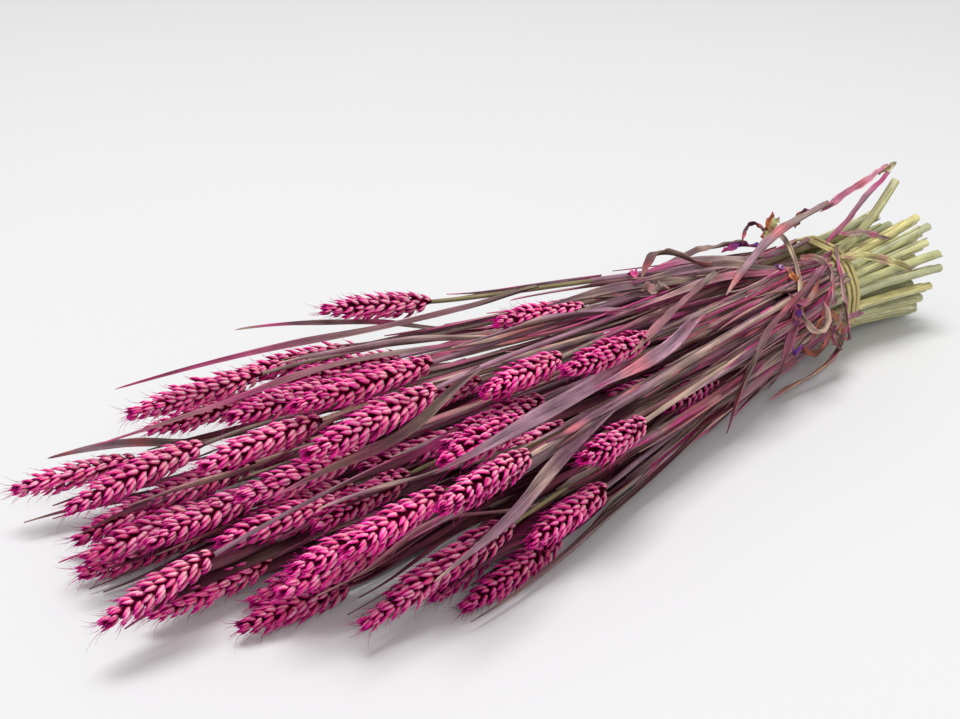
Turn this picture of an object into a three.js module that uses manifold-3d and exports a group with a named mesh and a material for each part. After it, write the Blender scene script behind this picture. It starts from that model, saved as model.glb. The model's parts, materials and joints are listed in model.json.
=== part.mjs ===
// Bundle of dried wheat lying on its side: stalks with one ear each, their leaves and one tie band.
// Sizes are in millimetres. X runs from the ears (-X) to the cut stems (+X), Z is up, the floor is Z = 0.
// Each stalk and leaf is a strand: a centre line with a place (y, z) in each of a row of upright planes.

import * as THREE from "three";
import { mergeVertices } from "three/addons/utils/BufferGeometryUtils.js";
import Module from "manifold-3d";

const wasm = await Module();
wasm.setup();

const SEED = 4857;

// The tie lies between two of the planes where every strand has a place.
const TIE_START = 202;
const TIE_END = 230;
const TIE_X = 216;
const STATIONS = [
  -380, -325, -270, -215, -160, -105, -50, 5, 60, 114, 168, TIE_START, TIE_END, 345,
];
const TIE_CENTRE_Y = 14;
const TIE_CENTRE_Z = 41;
const TIE_WIDTH = 12;
const TIE_THICKNESS = 1.6;
const TIE_REST_HALF_WIDTH = 9;
const TIE_REACH = 35.5;
const TIE_CORNERS = 12;
const CUT_END_SPREAD = 1.2;
const CUT_END_X = 302;
const CUT_END_JITTER = 22;

// The stray stem that rises above the others beyond the tie heads for this [y, z] at the last station.
const STRAY_END = [25, 142];

// A folded leaf hangs back over the tie from the stray stem: where it leaves the stem, then its [x, y, z].
const FOLD_ROOT_X = 287;
const FOLD_PATH = [[250, 8, 98], [222, 0, 88], [200, -5, 84]];
const FOLD_WIDTH = 5;

// Clear gaps: between separate pieces, in the tie, within a bunch, where pieces seat, and above the floor.
const GAP = 0.75;
const TIE_GAP = 0.3;
const BUNCH_GAP = 0.2;
const SEAT_GAP = 0.3;
const FLOOR_GAP = 0.6;

// Stalks of one bunch press together in the tie to this share of their full distance, this near it.
const PRESS = 0.78;
const PRESS_REACH = 20;

// An ear whose lowest point is under this height rests on the floor.
const EAR_SEAT = 1.4;

// Radius of a stalk with its sheath from the tie toward the ear, as [x, radius].
const STALK_RADIUS = [
  [-400, 1.7], [-180, 1.8], [-60, 2.1], [60, 2.5], [142, 3.1], [226, 4.1], [345, 4.0],
];
const STALK_SIDES = 5;
const STALK_TURN = 0.7;
const RING_CLEAR = 4;

// Heights and widths over which the ears spread round the middle of the heap.
const HEAP_MIDDLE_Z = 46;
const HEAP_HALF_HEIGHT = 44;
const HEAP_HALF_WIDTH = 100;

const EAR_REACH = 9;
const EAR_RINGS = 14;
const EAR_LAST = 0.95;
const EAR_TIP_SIZE = 0.2;
const NECK_RADIUS = 1.7;

// How far past its ear a stalk keeps its own place, and how long it carries on the ear's direction.
const EAR_HOME_REACH = 20;
const EAR_CARRY = 0.6;

// Turn of an ear round its own length, in radians: most ears show their flatter side to the front.
const EAR_ROLL = 2.1;
const EAR_ROLL_RANGE = 1.4;

// A spikelet's corners: its tip and two wings where it stands out, and where the other row has its turn.
const SPIKELET = {
  tipOut: 9, gapOut: 3.8, tipAhead: 5, wingOut: 3, wingUp: 6.6, wingGap: 4.6, wingAhead: 2.4,
};

const EAR_COLOUR = "#a8185f";
const STALK_COLOUR = "#8b7560";
const TIE_COLOUR = "#c9b26a";

// Places of the stalks in the tie: shells from the outside in, as [radius, count].
const TIE_SHELLS = [[32.5, 21], [23.5, 15], [14.5, 9], [5, 4]];

// How many neighbouring stalks cling together in each bunch, in the order of the shells.
const BUNCH_SIZES = [5, 5, 5, 6, 5, 5, 5, 5, 8];

// Each ear's tip and base, as [x, y, z, x, y, z].
const EARS = [
  [-325, 105, 30, -255, 75, 45],
  [-316, 42, 45, -233, 51, 55],
  [-260, 94, 60, -177, 84, 70],
  [-309, 63, 15, -236, 55, 30],
  [-317, 29, 25, -245, 17, 40],
  [-316, 38, 8, -242, 28, 15],
  [-331, -36, 30, -266, -35, 50],
  [-302, -17, 12, -230, -18, 25],
  [-285, -15, 8, -215, -21, 8],
  [-295, -9, 45, -221, 1, 50],
  [-256, 12, 60, -183, 8, 65],
  [-233, 20, 80, -158, 30, 80],
  [-205, 3, 85, -110, 6, 85],
  [-255, -35, 70, -180, -42, 75],
  [-225, -48, 85, -137, -42, 85],
  [-193, 52, 75, -107, 46, 75],
  [-193, 101, 60, -108, 99, 60],
  [-246, 105, 40, -171, 101, 45],
  [-169, -82, 80, -100, -64, 75],
  [-149, -52, 70, -67, -31, 65],
  [-117, -45, 88, -49, -30, 85],
  [-73, -60, 90, 5, -52, 85],
  [-92, -90, 65, -30, -69, 60],
  [10, -55, 40, 70, -42, 40],
  [-45, 42, 75, 23, 29, 70],
  [-225, -93, 15, -124, -79, 42],
  [-270, -53, 10, -201, -59, 10],
  [-250, -59, 25, -177, -72, 38],
  [-251, -77, 50, -180, -82, 62],
  [-232, -94, 60, -163, -81, 65],
  [-190, -109, 75, -118, -88, 68],
  [-139, -71, 60, -64, -50, 55],
  [-182, -94, 15, -112, -76, 25],
  [-171, -100, 8, -88, -87, 12],
  [-128, -101, 30, -60, -87, 35],
  [-166, -1, 35, -94, -18, 45],
  [-217, -29, 40, -146, -8, 42],
  [-153, 11, 60, -73, 23, 60],
  [-261, -20, 30, -187, -26, 38],
  [-137, 87, 92, -69, 58, 88],
  [-19, -22, 35, 45, -32, 42],
  [-290, 78, 10, -215, 68, 12],
  [-235, 70, 22, -160, 60, 26],
  [-205, 98, 12, -130, 84, 16],
  [-140, 66, 35, -66, 54, 40],
  [-150, 20, 12, -74, 14, 18],
  [-255, -38, 8, -182, -44, 10],
  [-240, 0, 30, -166, -2, 34],
  [-280, 45, 38, -206, 44, 44],
];

// Each large leaf from its tip to where it leaves a stalk, with its width, as [width, [x, y, z], ...].
const LEAVES = [
  [5, [-254, 127, 60], [-183, 99, 78], [-105, 48, 88], [-20, 38, 84]],
  [4, [-185, 106, 96], [-141, 96, 90], [-60, 74, 78]],
  [5, [-179, 75, 78], [-145, 60, 84], [-60, 25, 86]],
  [5, [-301, 107, 44], [-279, 101, 50], [-220, 90, 58]],
  [5, [-285, 81, 55], [-244, 50, 68], [-205, 31, 84], [-160, 23, 92], [-100, 17, 92]],
  [6, [-289, 30, 45], [-252, 11, 56], [-180, -6, 70]],
  [6, [-239, -46, 66], [-225, -47, 72], [-140, -47, 80]],
  [7, [-224, -56, 66], [-196, -74, 76], [-140, -76, 84]],
  [9, [-178, -99, 84], [-136, -90, 90], [-86, -75, 90], [-20, -50, 84]],
  [6, [-193, -89, 48], [-182, -105, 62], [-148, -106, 72], [-100, -98, 72]],
  [5, [-234, -67, 22], [-219, -80, 28], [-140, -88, 42]],
  [9, [-184, -100, 4], [-179, -112, 22], [-160, -116, 46], [-132, -109, 62], [-60, -88, 66]],
  [6, [-169, -112, 5], [-134, -106, 6], [-45, -84, 10], [23, -62, 14], [100, -40, 20]],
  [4, [-322, 37, 20], [-298, 27, 24], [-220, 22, 34]],
  [8, [-56, -72, 84], [-30, -75, 86], [20, -62, 84]],
  [6, [-20, 66, 80], [30, 52, 84], [100, 34, 84]],
  [6, [20, -20, 90], [60, -8, 92], [142, 4, 88]],
  [7, [-100, 6, 92], [-40, 0, 96], [60, -4, 92]],
  [6, [-60, -90, 22], [0, -78, 26], [80, -50, 36]],
  [6, [0, -70, 56], [50, -56, 60], [142, -34, 62]],
  [6, [-40, 84, 40], [20, 64, 44], [100, 44, 50]],
  [6, [30, 56, 22], [80, 46, 26], [160, 34, 34]],
  [6, [40, 20, 88], [90, 18, 92], [168, 14, 84]],
  [6, [70, -46, 30], [110, -42, 34], [168, -30, 40]],
  [7, [56, 32, 88], [110, 32, 90], [160, 34, 86]],
  [8, [40, -30, 80], [90, -24, 82], [160, -6, 78]],
  [7, [60, -46, 50], [110, -36, 52], [160, -22, 52]],
  [6, [108, -32, 20], [150, -24, 22], [196, -16, 26]],
  [6, [104, 58, 60], [150, 54, 62], [196, 50, 58]],
  [6, [50, 64, 30], [100, 58, 32], [160, 48, 32]],
  [7, [-20, 20, 92], [50, 24, 94], [110, 22, 90]],
  [7, [-80, -70, 42], [-20, -64, 46], [56, -48, 50]],
];
const LEAF_THICKNESS = 0.9;
const LEAF_RING_STEP = 34;
const LEAF_TILT = 0.9;
const LEAF_TWIST = 0.8;

// A leaf leaves its stalk at least this far from the ear.
const LEAF_ROOT_CLEAR = 12;

// How the strands are moved apart: steps in all, the last ones without straightening, and how hard
// each step pushes, straightens, draws a strand to its own place and draws a bunch together.
const STEPS = 420;
const LAST_STEPS = 120;
const PUSH = 1.4;
const STRAIGHTEN = 0.35;
const STRAIGHTEN_IN_TIE = 0.1;
const HOMING = 0.12;
const GATHER = 0.25;
const SAMPLES_PER_SPAN = 6;
const END_MARGIN = 6;
const SAMPLE_SPACING_AT_END = 18;
const TINY = 1e-6;

// Park-Miller generator: whole-number draws that come out the same everywhere.
function makeRandom(seed) {
  let state = seed;
  return () => {
    state = (state * 16807) % 2147483647;
    return state / 2147483647;
  };
}

function lerp(a, b, t) {
  return a + (b - a) * t;
}

// Value of a table of [x, value] rows at x, held flat beyond both ends.
function tableAt(table, x) {
  if (x <= table[0][0]) return table[0][1];
  for (let i = 1; i < table.length; i += 1) {
    if (x <= table[i][0]) {
      const [x0, v0] = table[i - 1];
      const [x1, v1] = table[i];
      return lerp(v0, v1, (x - x0) / (x1 - x0));
    }
  }
  return table[table.length - 1][1];
}

// Half the width of an ear at fraction s from its base (0) to its tip (1).
function earRadius(s) {
  if (s < 0.14) return lerp(3.4, EAR_REACH, s / 0.14);
  if (s < 0.66) return EAR_REACH;
  return lerp(EAR_REACH, 3, (s - 0.66) / 0.34);
}

// Half the width of a leaf at fraction s from its root (0) to its tip (1).
function leafHalfWidth(width, s) {
  const half = width / 2;
  if (s < 0.3) return lerp(half * 0.55, half, s / 0.3);
  if (s < 0.6) return half;
  return lerp(half, 0.5, (s - 0.6) / 0.4);
}

function strandRadius(strand, x) {
  if (strand.kind === "leaf") {
    return leafHalfWidth(strand.width, (strand.endX - x) / (strand.endX - strand.tipX)) + 0.1;
  }
  if (x < strand.baseX) return earRadius((strand.baseX - x) / (strand.baseX - strand.tipX)) * strand.size;
  return tableAt(STALK_RADIUS, x) * strand.size;
}

// How far a strand reaches down: an ear lying on its flatter side reaches less.
function floorRadius(strand, x) {
  const radius = strandRadius(strand, x) + FLOOR_GAP;
  if (x >= strand.baseX || strand.kind === "leaf") return radius;
  const { tipOut, wingOut, wingUp } = SPIKELET;
  const edge = Math.abs(Math.sin(strand.roll));
  const flat = Math.abs(Math.cos(strand.roll));
  const depth = Math.max(tipOut * edge, wingOut * edge + wingUp * flat);
  return (radius * depth) / tipOut;
}

// Place [y, z] of a strand at any x, straight between two stations.
function placeAt(strand, x) {
  let k = 0;
  while (k < STATIONS.length - 2 && STATIONS[k + 1] < x) k += 1;
  const t = (x - STATIONS[k]) / (STATIONS[k + 1] - STATIONS[k]);
  const a = strand.places[k];
  const b = strand.places[k + 1];
  return [lerp(a[0], b[0], t), lerp(a[1], b[1], t)];
}

// Point of a hand-set path of [x, y, z] corners, ordered by x, with its end pieces carried on straight.
function pathAt(path, x) {
  let k = 0;
  while (k < path.length - 2 && path[k + 1][0] < x) k += 1;
  const [x0, y0, z0] = path[k];
  const [x1, y1, z1] = path[k + 1];
  const t = (x - x0) / (x1 - x0);
  return [lerp(y0, y1, t), lerp(z0, z1, t)];
}

// Slots in the tie, outermost shell first, each with its bunch number.
function tieSlots() {
  const bunchOf = BUNCH_SIZES.flatMap((size, bunch) => new Array(size).fill(bunch));
  const slots = [];
  for (const [radius, count] of TIE_SHELLS) {
    for (let i = 0; i < count; i += 1) {
      const angle = (2 * Math.PI * (i + 0.5)) / count - Math.PI;
      const order = slots.length;
      slots.push({ order, bunch: bunchOf[order], y: radius * Math.cos(angle), z: radius * Math.sin(angle) });
    }
  }
  return slots;
}

// Gives each ear the tie slot in the same direction from the middle, so that stalks don't cross.
function assignSlots(slots) {
  const ears = EARS.map(([, , , , y, z], index) => {
    const across = (y - TIE_CENTRE_Y) / HEAP_HALF_WIDTH;
    const up = (z - HEAP_MIDDLE_Z) / HEAP_HALF_HEIGHT;
    return { index, reach: Math.hypot(across, up), angle: Math.atan2(up, across) };
  });
  ears.sort((a, b) => b.reach - a.reach || a.index - b.index);
  const chosen = [];
  let first = 0;
  for (const [, count] of TIE_SHELLS) {
    const shellEars = ears.slice(first, first + count);
    shellEars.sort((a, b) => a.angle - b.angle || a.index - b.index);
    shellEars.forEach((ear, i) => {
      chosen[ear.index] = slots[first + i];
    });
    first += count;
  }
  return chosen;
}

// A stalk's first path: straight beyond the tie, and an easy curve from the tie to its ear.
function makeStalk(index, slot, random) {
  const [tipX, tipY, tipZ, baseX, baseY, baseZ] = EARS[index];
  const size = 0.94 + 0.12 * random();
  const cutX = CUT_END_X + CUT_END_JITTER * (random() - 0.5);
  const roll = EAR_ROLL + EAR_ROLL_RANGE * (random() - 0.5);
  const slopeY = (tipY - baseY) / (tipX - baseX);
  const slopeZ = (tipZ - baseZ) / (tipX - baseX);
  const places = STATIONS.map((x) => {
    if (x <= baseX) return [baseY + slopeY * (x - baseX), baseZ + slopeZ * (x - baseX)];
    const beyond = Math.max(0, x - TIE_END) / (CUT_END_X - TIE_END);
    const spread = 1 + (CUT_END_SPREAD - 1) * beyond;
    const heldY = TIE_CENTRE_Y + slot.y * spread;
    const heldZ = TIE_CENTRE_Z + slot.z * spread;
    if (x >= TIE_START) return [heldY, heldZ];
    const t = (x - baseX) / (TIE_START - baseX);
    const ease = t * t * (3 - 2 * t);
    const carry = EAR_CARRY * (TIE_START - baseX) * t * (1 - t) * (1 - t);
    return [lerp(baseY, heldY, ease) + slopeY * carry, lerp(baseZ, heldZ, ease) + slopeZ * carry];
  });
  const home = places.map((place, k) => (STATIONS[k] < baseX + EAR_HOME_REACH ? [...place] : null));
  const { bunch } = slot;
  return { kind: "stalk", index, slot, bunch, size, roll, tipX, baseX, endX: cutX, places, home };
}

// A leaf follows its hand-set path and is rooted on the nearest stalk.
function makeLeaf(index, stalks) {
  const [width, ...path] = LEAVES[index];
  const tipX = path[0][0];
  const rootStation = STATIONS.findIndex((x) => x >= path[path.length - 1][0]);
  const rootX = STATIONS[rootStation];
  const places = STATIONS.map((x) => pathAt(path, Math.max(x, tipX)));
  const [rootY, rootZ] = places[rootStation];
  const reach = (stalk) => {
    const [y, z] = stalk.places[rootStation];
    return Math.hypot(y - rootY, z - rootZ);
  };
  const hosts = stalks.filter((stalk) => stalk.baseX < rootX - LEAF_ROOT_CLEAR);
  const host = hosts.reduce((best, other) => (reach(other) < reach(best) ? other : best));
  const home = places.map((place, k) => (STATIONS[k] < rootX ? [...place] : null));
  const { bunch } = host;
  return {
    kind: "leaf", index, host, bunch, width, tipX, baseX: -Infinity, rootStation, endX: rootX, places, home,
  };
}

// Sample points along the stations where strands are kept apart.
function makeSamples() {
  const samples = [];
  for (let k = 0; k < STATIONS.length - 1; k += 1) {
    for (let i = 0; i < SAMPLES_PER_SPAN; i += 1) {
      const t = i / SAMPLES_PER_SPAN;
      samples.push({ k, t, x: lerp(STATIONS[k], STATIONS[k + 1], t) });
    }
  }
  return samples;
}

// How far apart two strands must be at x, or null where they may meet.
function wantedDistance(a, b, x) {
  const radii = strandRadius(a, x) + strandRadius(b, x);
  const inTie = x > TIE_START - PRESS_REACH && x < TIE_END + PRESS_REACH;
  const atEar = x < a.baseX || x < b.baseX;
  if (atEar || a.bunch !== b.bunch) return radii + (inTie ? TIE_GAP : GAP);
  if (a.kind === "leaf" || b.kind === "leaf") return null;
  return inTie ? radii * PRESS : radii + BUNCH_GAP;
}

// Adds to the moves of strands that are too close at a sample, away from each other.
function pushApart(strands, samples, moves) {
  for (let i = 0; i < strands.length; i += 1) {
    for (let j = i + 1; j < strands.length; j += 1) {
      const a = strands[i];
      const b = strands[j];
      const low = Math.max(a.tipX, b.tipX) - END_MARGIN;
      const high = Math.min(a.endX, b.endX) + END_MARGIN;
      for (const { k, t, x } of samples) {
        if (x < low || x > high) continue;
        const wanted = wantedDistance(a, b, x);
        if (wanted === null) continue;
        const dy = lerp(a.places[k][0] - b.places[k][0], a.places[k + 1][0] - b.places[k + 1][0], t);
        const dz = lerp(a.places[k][1] - b.places[k][1], a.places[k + 1][1] - b.places[k + 1][1], t);
        const distance = Math.hypot(dy, dz) + TINY;
        if (distance >= wanted) continue;
        const push = (wanted - distance) / distance / 2;
        addMove(moves[i], k, t, dy * push, dz * push);
        addMove(moves[j], k, t, -dy * push, -dz * push);
      }
    }
  }
}

// Shares a move at a sample between the stations on its two sides.
function addMove(move, k, t, dy, dz) {
  for (const [station, weight] of [[k, 1 - t], [k + 1, t]]) {
    move[station][0] += dy * weight;
    move[station][1] += dz * weight;
    move[station][2] += weight;
  }
}

function applyMoves(strand, moves) {
  strand.places.forEach((place, k) => {
    const [dy, dz, weight] = moves[k];
    const scale = PUSH / Math.max(1, weight);
    place[0] += dy * scale;
    place[1] += dz * scale;
  });
}

// Straightens a strand a little and draws it to its own place.
function settle({ places, home }) {
  const old = places.map((place) => [...place]);
  for (let k = 1; k < STATIONS.length - 1; k += 1) {
    const t = (STATIONS[k] - STATIONS[k - 1]) / (STATIONS[k + 1] - STATIONS[k - 1]);
    const share = STATIONS[k] === TIE_START || STATIONS[k] === TIE_END ? STRAIGHTEN_IN_TIE : STRAIGHTEN;
    for (const axis of [0, 1]) {
      places[k][axis] += share * (lerp(old[k - 1][axis], old[k + 1][axis], t) - old[k][axis]);
    }
  }
  home.forEach((target, k) => {
    if (target === null) return;
    for (const axis of [0, 1]) places[k][axis] += HOMING * (target[axis] - places[k][axis]);
  });
}

// Keeps a stalk inside the tie.
function holdInTie(stalk) {
  for (const x of [TIE_START, TIE_END]) {
    const place = stalk.places[STATIONS.indexOf(x)];
    const dy = place[0] - TIE_CENTRE_Y;
    const dz = place[1] - TIE_CENTRE_Z;
    const scale = (TIE_REACH - strandRadius(stalk, x)) / (Math.hypot(dy, dz) + TINY);
    if (scale < 1) {
      place[0] = TIE_CENTRE_Y + dy * scale;
      place[1] = TIE_CENTRE_Z + dz * scale;
    }
  }
}

function liftOffFloor(strand, samples) {
  const { places, tipX, endX } = strand;
  for (const { k, t, x } of samples) {
    if (x < tipX - END_MARGIN || x > endX + SAMPLE_SPACING_AT_END) continue;
    const lift = floorRadius(strand, x) - lerp(places[k][1], places[k + 1][1], t);
    if (lift <= 0) continue;
    const share = (1 - t) * (1 - t) + t * t;
    places[k][1] += (lift * (1 - t)) / share;
    places[k + 1][1] += (lift * t) / share;
  }
}

// Draws neighbours of one bunch together in the tie, so that they fuse there.
function gather(bunch) {
  for (let i = 1; i < bunch.length; i += 1) {
    for (const x of [TIE_START, TIE_END]) {
      const a = bunch[i - 1].places[STATIONS.indexOf(x)];
      const b = bunch[i].places[STATIONS.indexOf(x)];
      const wanted = PRESS * (strandRadius(bunch[i - 1], x) + strandRadius(bunch[i], x));
      const distance = Math.hypot(a[0] - b[0], a[1] - b[1]);
      const pull = distance > wanted ? (GATHER * (distance - wanted)) / distance : 0;
      for (const axis of [0, 1]) {
        const step = (b[axis] - a[axis]) * pull;
        a[axis] += step;
        b[axis] -= step;
      }
    }
  }
}

// From its root on, a leaf's centre line is its stalk's.
function rootLeaf({ places, host, rootStation }) {
  for (let k = rootStation; k < STATIONS.length; k += 1) places[k] = [...host.places[k]];
}

// Lays out every stalk and leaf, moving them until none runs into another.
function layOut() {
  const random = makeRandom(SEED);
  const slots = assignSlots(tieSlots());
  const stalks = EARS.map((ear, index) => makeStalk(index, slots[index], random));
  const leaves = LEAVES.map((leaf, index) => makeLeaf(index, stalks));
  const strands = [...stalks, ...leaves];
  const samples = makeSamples();
  const inOrder = [...stalks].sort((a, b) => a.slot.order - b.slot.order);
  const bunches = BUNCH_SIZES.map((size, i) => inOrder.filter((stalk) => stalk.bunch === i));
  const stray = stalks.reduce((top, stalk) => (stalk.slot.z > top.slot.z ? stalk : top));
  stray.home[STATIONS.length - 1] = STRAY_END;
  for (let step = 0; step < STEPS; step += 1) {
    const moves = strands.map(() => STATIONS.map(() => [0, 0, 0]));
    pushApart(strands, samples, moves);
    strands.forEach((strand, i) => {
      applyMoves(strand, moves[i]);
      if (step < STEPS - LAST_STEPS) settle(strand);
      if (strand.kind === "stalk") holdInTie(strand);
      liftOffFloor(strand, samples);
    });
    bunches.forEach(gather);
    leaves.forEach(rootLeaf);
  }
  return { stalks, leaves, bunches, stray };
}

// A closed prism along Z from 0 to 1, in rings that can follow a path.
function ringPrism(sides, steps) {
  const outline = new THREE.Shape();
  for (let i = 0; i < sides; i += 1) {
    const angle = (2 * Math.PI * i) / sides;
    if (i === 0) outline.moveTo(1, 0);
    else outline.lineTo(Math.cos(angle), Math.sin(angle));
  }
  return new THREE.ExtrudeGeometry(outline, { depth: 1, steps, bevelEnabled: false });
}

// Moves every vertex of a geometry by a rule and makes the result a solid.
function solidFrom(geometry, rule) {
  geometry.deleteAttribute("normal");
  geometry.deleteAttribute("uv");
  const merged = mergeVertices(geometry, 1e-5);
  const positions = merged.getAttribute("position");
  const vertex = new THREE.Vector3();
  const vertProperties = new Float32Array(positions.count * 3);
  for (let i = 0; i < positions.count; i += 1) {
    rule(vertex.fromBufferAttribute(positions, i)).toArray(vertProperties, i * 3);
  }
  const triVerts = new Uint32Array(merged.index.array);
  const solid = new wasm.Manifold(new wasm.Mesh({ numProp: 3, vertProperties, triVerts }));
  return solid.volume() < 0 ? flipped(vertProperties, triVerts) : solid;
}

function flipped(vertProperties, triVerts) {
  for (let i = 0; i < triVerts.length; i += 3) {
    [triVerts[i], triVerts[i + 1]] = [triVerts[i + 1], triVerts[i]];
  }
  return new wasm.Manifold(new wasm.Mesh({ numProp: 3, vertProperties, triVerts }));
}

function geometryOf(solid) {
  const mesh = solid.getMesh();
  const geometry = new THREE.BufferGeometry();
  geometry.setAttribute("position", new THREE.BufferAttribute(new Float32Array(mesh.vertProperties), 3));
  geometry.setIndex(new THREE.BufferAttribute(new Uint32Array(mesh.triVerts), 1));
  geometry.computeVertexNormals();
  return geometry;
}

// Point of an upright section at x: across and up from the strand's centre line, turned by an angle.
function sectionPoint(strand, x, across, up, turn) {
  const [y, z] = placeAt(strand, x);
  const cos = Math.cos(turn);
  const sin = Math.sin(turn);
  return new THREE.Vector3(x, y + across * cos - up * sin, z + across * sin + up * cos);
}

// A stalk is a tube of upright rings, one at each end and one at every station between.
function stalkSolid(stalk) {
  const startX = stalk.baseX + SEAT_GAP / 2;
  const between = STATIONS.filter((x) => x > startX + RING_CLEAR && x < stalk.endX - RING_CLEAR);
  const xs = [startX, ...between, stalk.endX];
  return solidFrom(ringPrism(STALK_SIDES, xs.length - 1), (vertex) => {
    const x = xs[Math.round(vertex.z * (xs.length - 1))];
    const radius = strandRadius(stalk, x);
    return sectionPoint(stalk, x, radius * vertex.x, radius * vertex.y, stalk.index * STALK_TURN);
  });
}

// A leaf blade is a flat strip that turns a little along its length.
function leafSolid(leaf) {
  const length = leaf.endX - leaf.tipX;
  const steps = Math.ceil(length / LEAF_RING_STEP);
  return solidFrom(new THREE.BoxGeometry(2, LEAF_THICKNESS, 1, 1, 1, steps), (vertex) => {
    const along = 0.5 - vertex.z;
    const half = leafHalfWidth(leaf.width, along);
    return sectionPoint(leaf, leaf.endX - along * length, half * vertex.x, vertex.y, leafTurn(leaf, along));
  });
}

// Angle of a leaf's blade at fraction s from its root, each leaf its own.
function leafTurn(leaf, s) {
  return LEAF_TILT * Math.sin(2.4 * leaf.index) + s * LEAF_TWIST * Math.cos(1.7 * leaf.index);
}

// The folded leaf, a flat strip from the stray stem down to its free end.
function foldSolid(stray) {
  const root = [FOLD_ROOT_X, ...placeAt(stray, FOLD_ROOT_X)];
  const points = [root, ...FOLD_PATH].map((point) => new THREE.Vector3(...point));
  const along = points.at(-1).clone().sub(points[0]).normalize();
  const side = new THREE.Vector3(0, 0, 1).cross(along).normalize();
  const up = new THREE.Vector3().crossVectors(along, side);
  const strip = new THREE.BoxGeometry(FOLD_WIDTH, LEAF_THICKNESS, 1, 1, 1, points.length - 1);
  return solidFrom(strip, ({ x, y, z }) => {
    const point = points[Math.round((0.5 - z) * (points.length - 1))].clone();
    return point.addScaledVector(side, x).addScaledVector(up, y);
  });
}

// Size of the ear's section at fraction s from its base to its tip.
function earScale(s) {
  if (s < 0.2) return lerp(0.62, 1, s / 0.2);
  if (s < 0.6) return 1;
  return lerp(1, 0.5, (s - 0.6) / 0.4);
}

// Where a corner of an ear's ring lies: out along its row, across it, and ahead toward the tip.
// Rings are spikelets of the left and right row by turns; the row whose turn it is stands out.
function earCorner(corner, ring) {
  const { tipOut, gapOut, tipAhead, wingOut, wingUp, wingGap, wingAhead } = SPIKELET;
  const left = corner === 0 || corner === 1 || corner === 5;
  const stands = (ring % 2 === 0) === left;
  const side = left ? 1 : -1;
  if (corner === 0 || corner === 3) {
    return { out: side * (stands ? tipOut : gapOut), up: 0, ahead: stands ? tipAhead : 0 };
  }
  const up = (corner < 3 ? 1 : -1) * (stands ? wingUp : wingGap);
  return { out: side * wingOut, up, ahead: stands ? wingAhead : 0 };
}

// An ear: one body with spikelets in two rows, left and right by turns, that point to the tip.
function earSolid(stalk) {
  const tip = new THREE.Vector3(stalk.tipX, ...placeAt(stalk, stalk.tipX));
  const base = new THREE.Vector3(stalk.baseX, ...placeAt(stalk, stalk.baseX));
  const forward = tip.sub(base).normalize();
  const level = new THREE.Vector3(0, 0, 1).cross(forward).normalize();
  const row = level.applyAxisAngle(forward, stalk.roll);
  const across = new THREE.Vector3().crossVectors(forward, row);
  const corner = (vertex) => earPoint(stalk, vertex, { forward, row, across });
  const lowest = lowestOf(ringPrism(6, EAR_RINGS), corner);
  const drop = lowest < EAR_SEAT ? lowest : 0;
  return solidFrom(ringPrism(6, EAR_RINGS), (vertex) => {
    const point = corner(vertex);
    point.z -= drop;
    return point;
  });
}

// Where a corner of the ear's ring prism goes. The first ring is upright, like the stalk's end it seats on.
function earPoint(stalk, vertex, { forward, row, across }) {
  const ring = Math.round(vertex.z * EAR_RINGS);
  const corner = (Math.round(Math.atan2(vertex.y, vertex.x) / (Math.PI / 3)) + 6) % 6;
  const s = (ring * EAR_LAST) / EAR_RINGS;
  const x = stalk.baseX - SEAT_GAP / 2 - s * (stalk.baseX - stalk.tipX);
  const point = new THREE.Vector3(x, ...placeAt(stalk, x));
  if (ring === 0) {
    const neck = point.addScaledVector(row, NECK_RADIUS * vertex.x);
    return neck.addScaledVector(across, NECK_RADIUS * vertex.y).setX(x);
  }
  const { out, up, ahead } = earCorner(corner, ring);
  const last = ring === EAR_RINGS;
  const size = stalk.size * (last ? EAR_TIP_SIZE : earScale(s));
  return point
    .addScaledVector(row, out * size)
    .addScaledVector(across, up * size)
    .addScaledVector(forward, (last ? SPIKELET.tipAhead : ahead) * size);
}

function lowestOf(geometry, rule) {
  const positions = geometry.getAttribute("position");
  const vertex = new THREE.Vector3();
  let lowest = Infinity;
  for (let i = 0; i < positions.count; i += 1) {
    lowest = Math.min(lowest, rule(vertex.fromBufferAttribute(positions, i)).z);
  }
  return lowest;
}

// Convex outline round discs [y, z, radius] with extra corners, as a list of [y, z].
function outlineRound(discs, extra) {
  const points = [...extra];
  for (const [y, z, radius] of discs) {
    for (let i = 0; i < TIE_CORNERS; i += 1) {
      const angle = (2 * Math.PI * i) / TIE_CORNERS;
      points.push([y + radius * Math.cos(angle), z + radius * Math.sin(angle)]);
    }
  }
  points.sort((a, b) => a[0] - b[0] || a[1] - b[1]);
  const turn = (o, a, b) => (a[0] - o[0]) * (b[1] - o[1]) - (a[1] - o[1]) * (b[0] - o[0]);
  const half = (list) => {
    const chain = [];
    for (const point of list) {
      while (chain.length > 1 && turn(chain.at(-2), chain.at(-1), point) <= 0) chain.pop();
      chain.push(point);
    }
    return chain.slice(0, -1);
  };
  return [...half(points), ...half([...points].reverse())];
}

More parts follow.
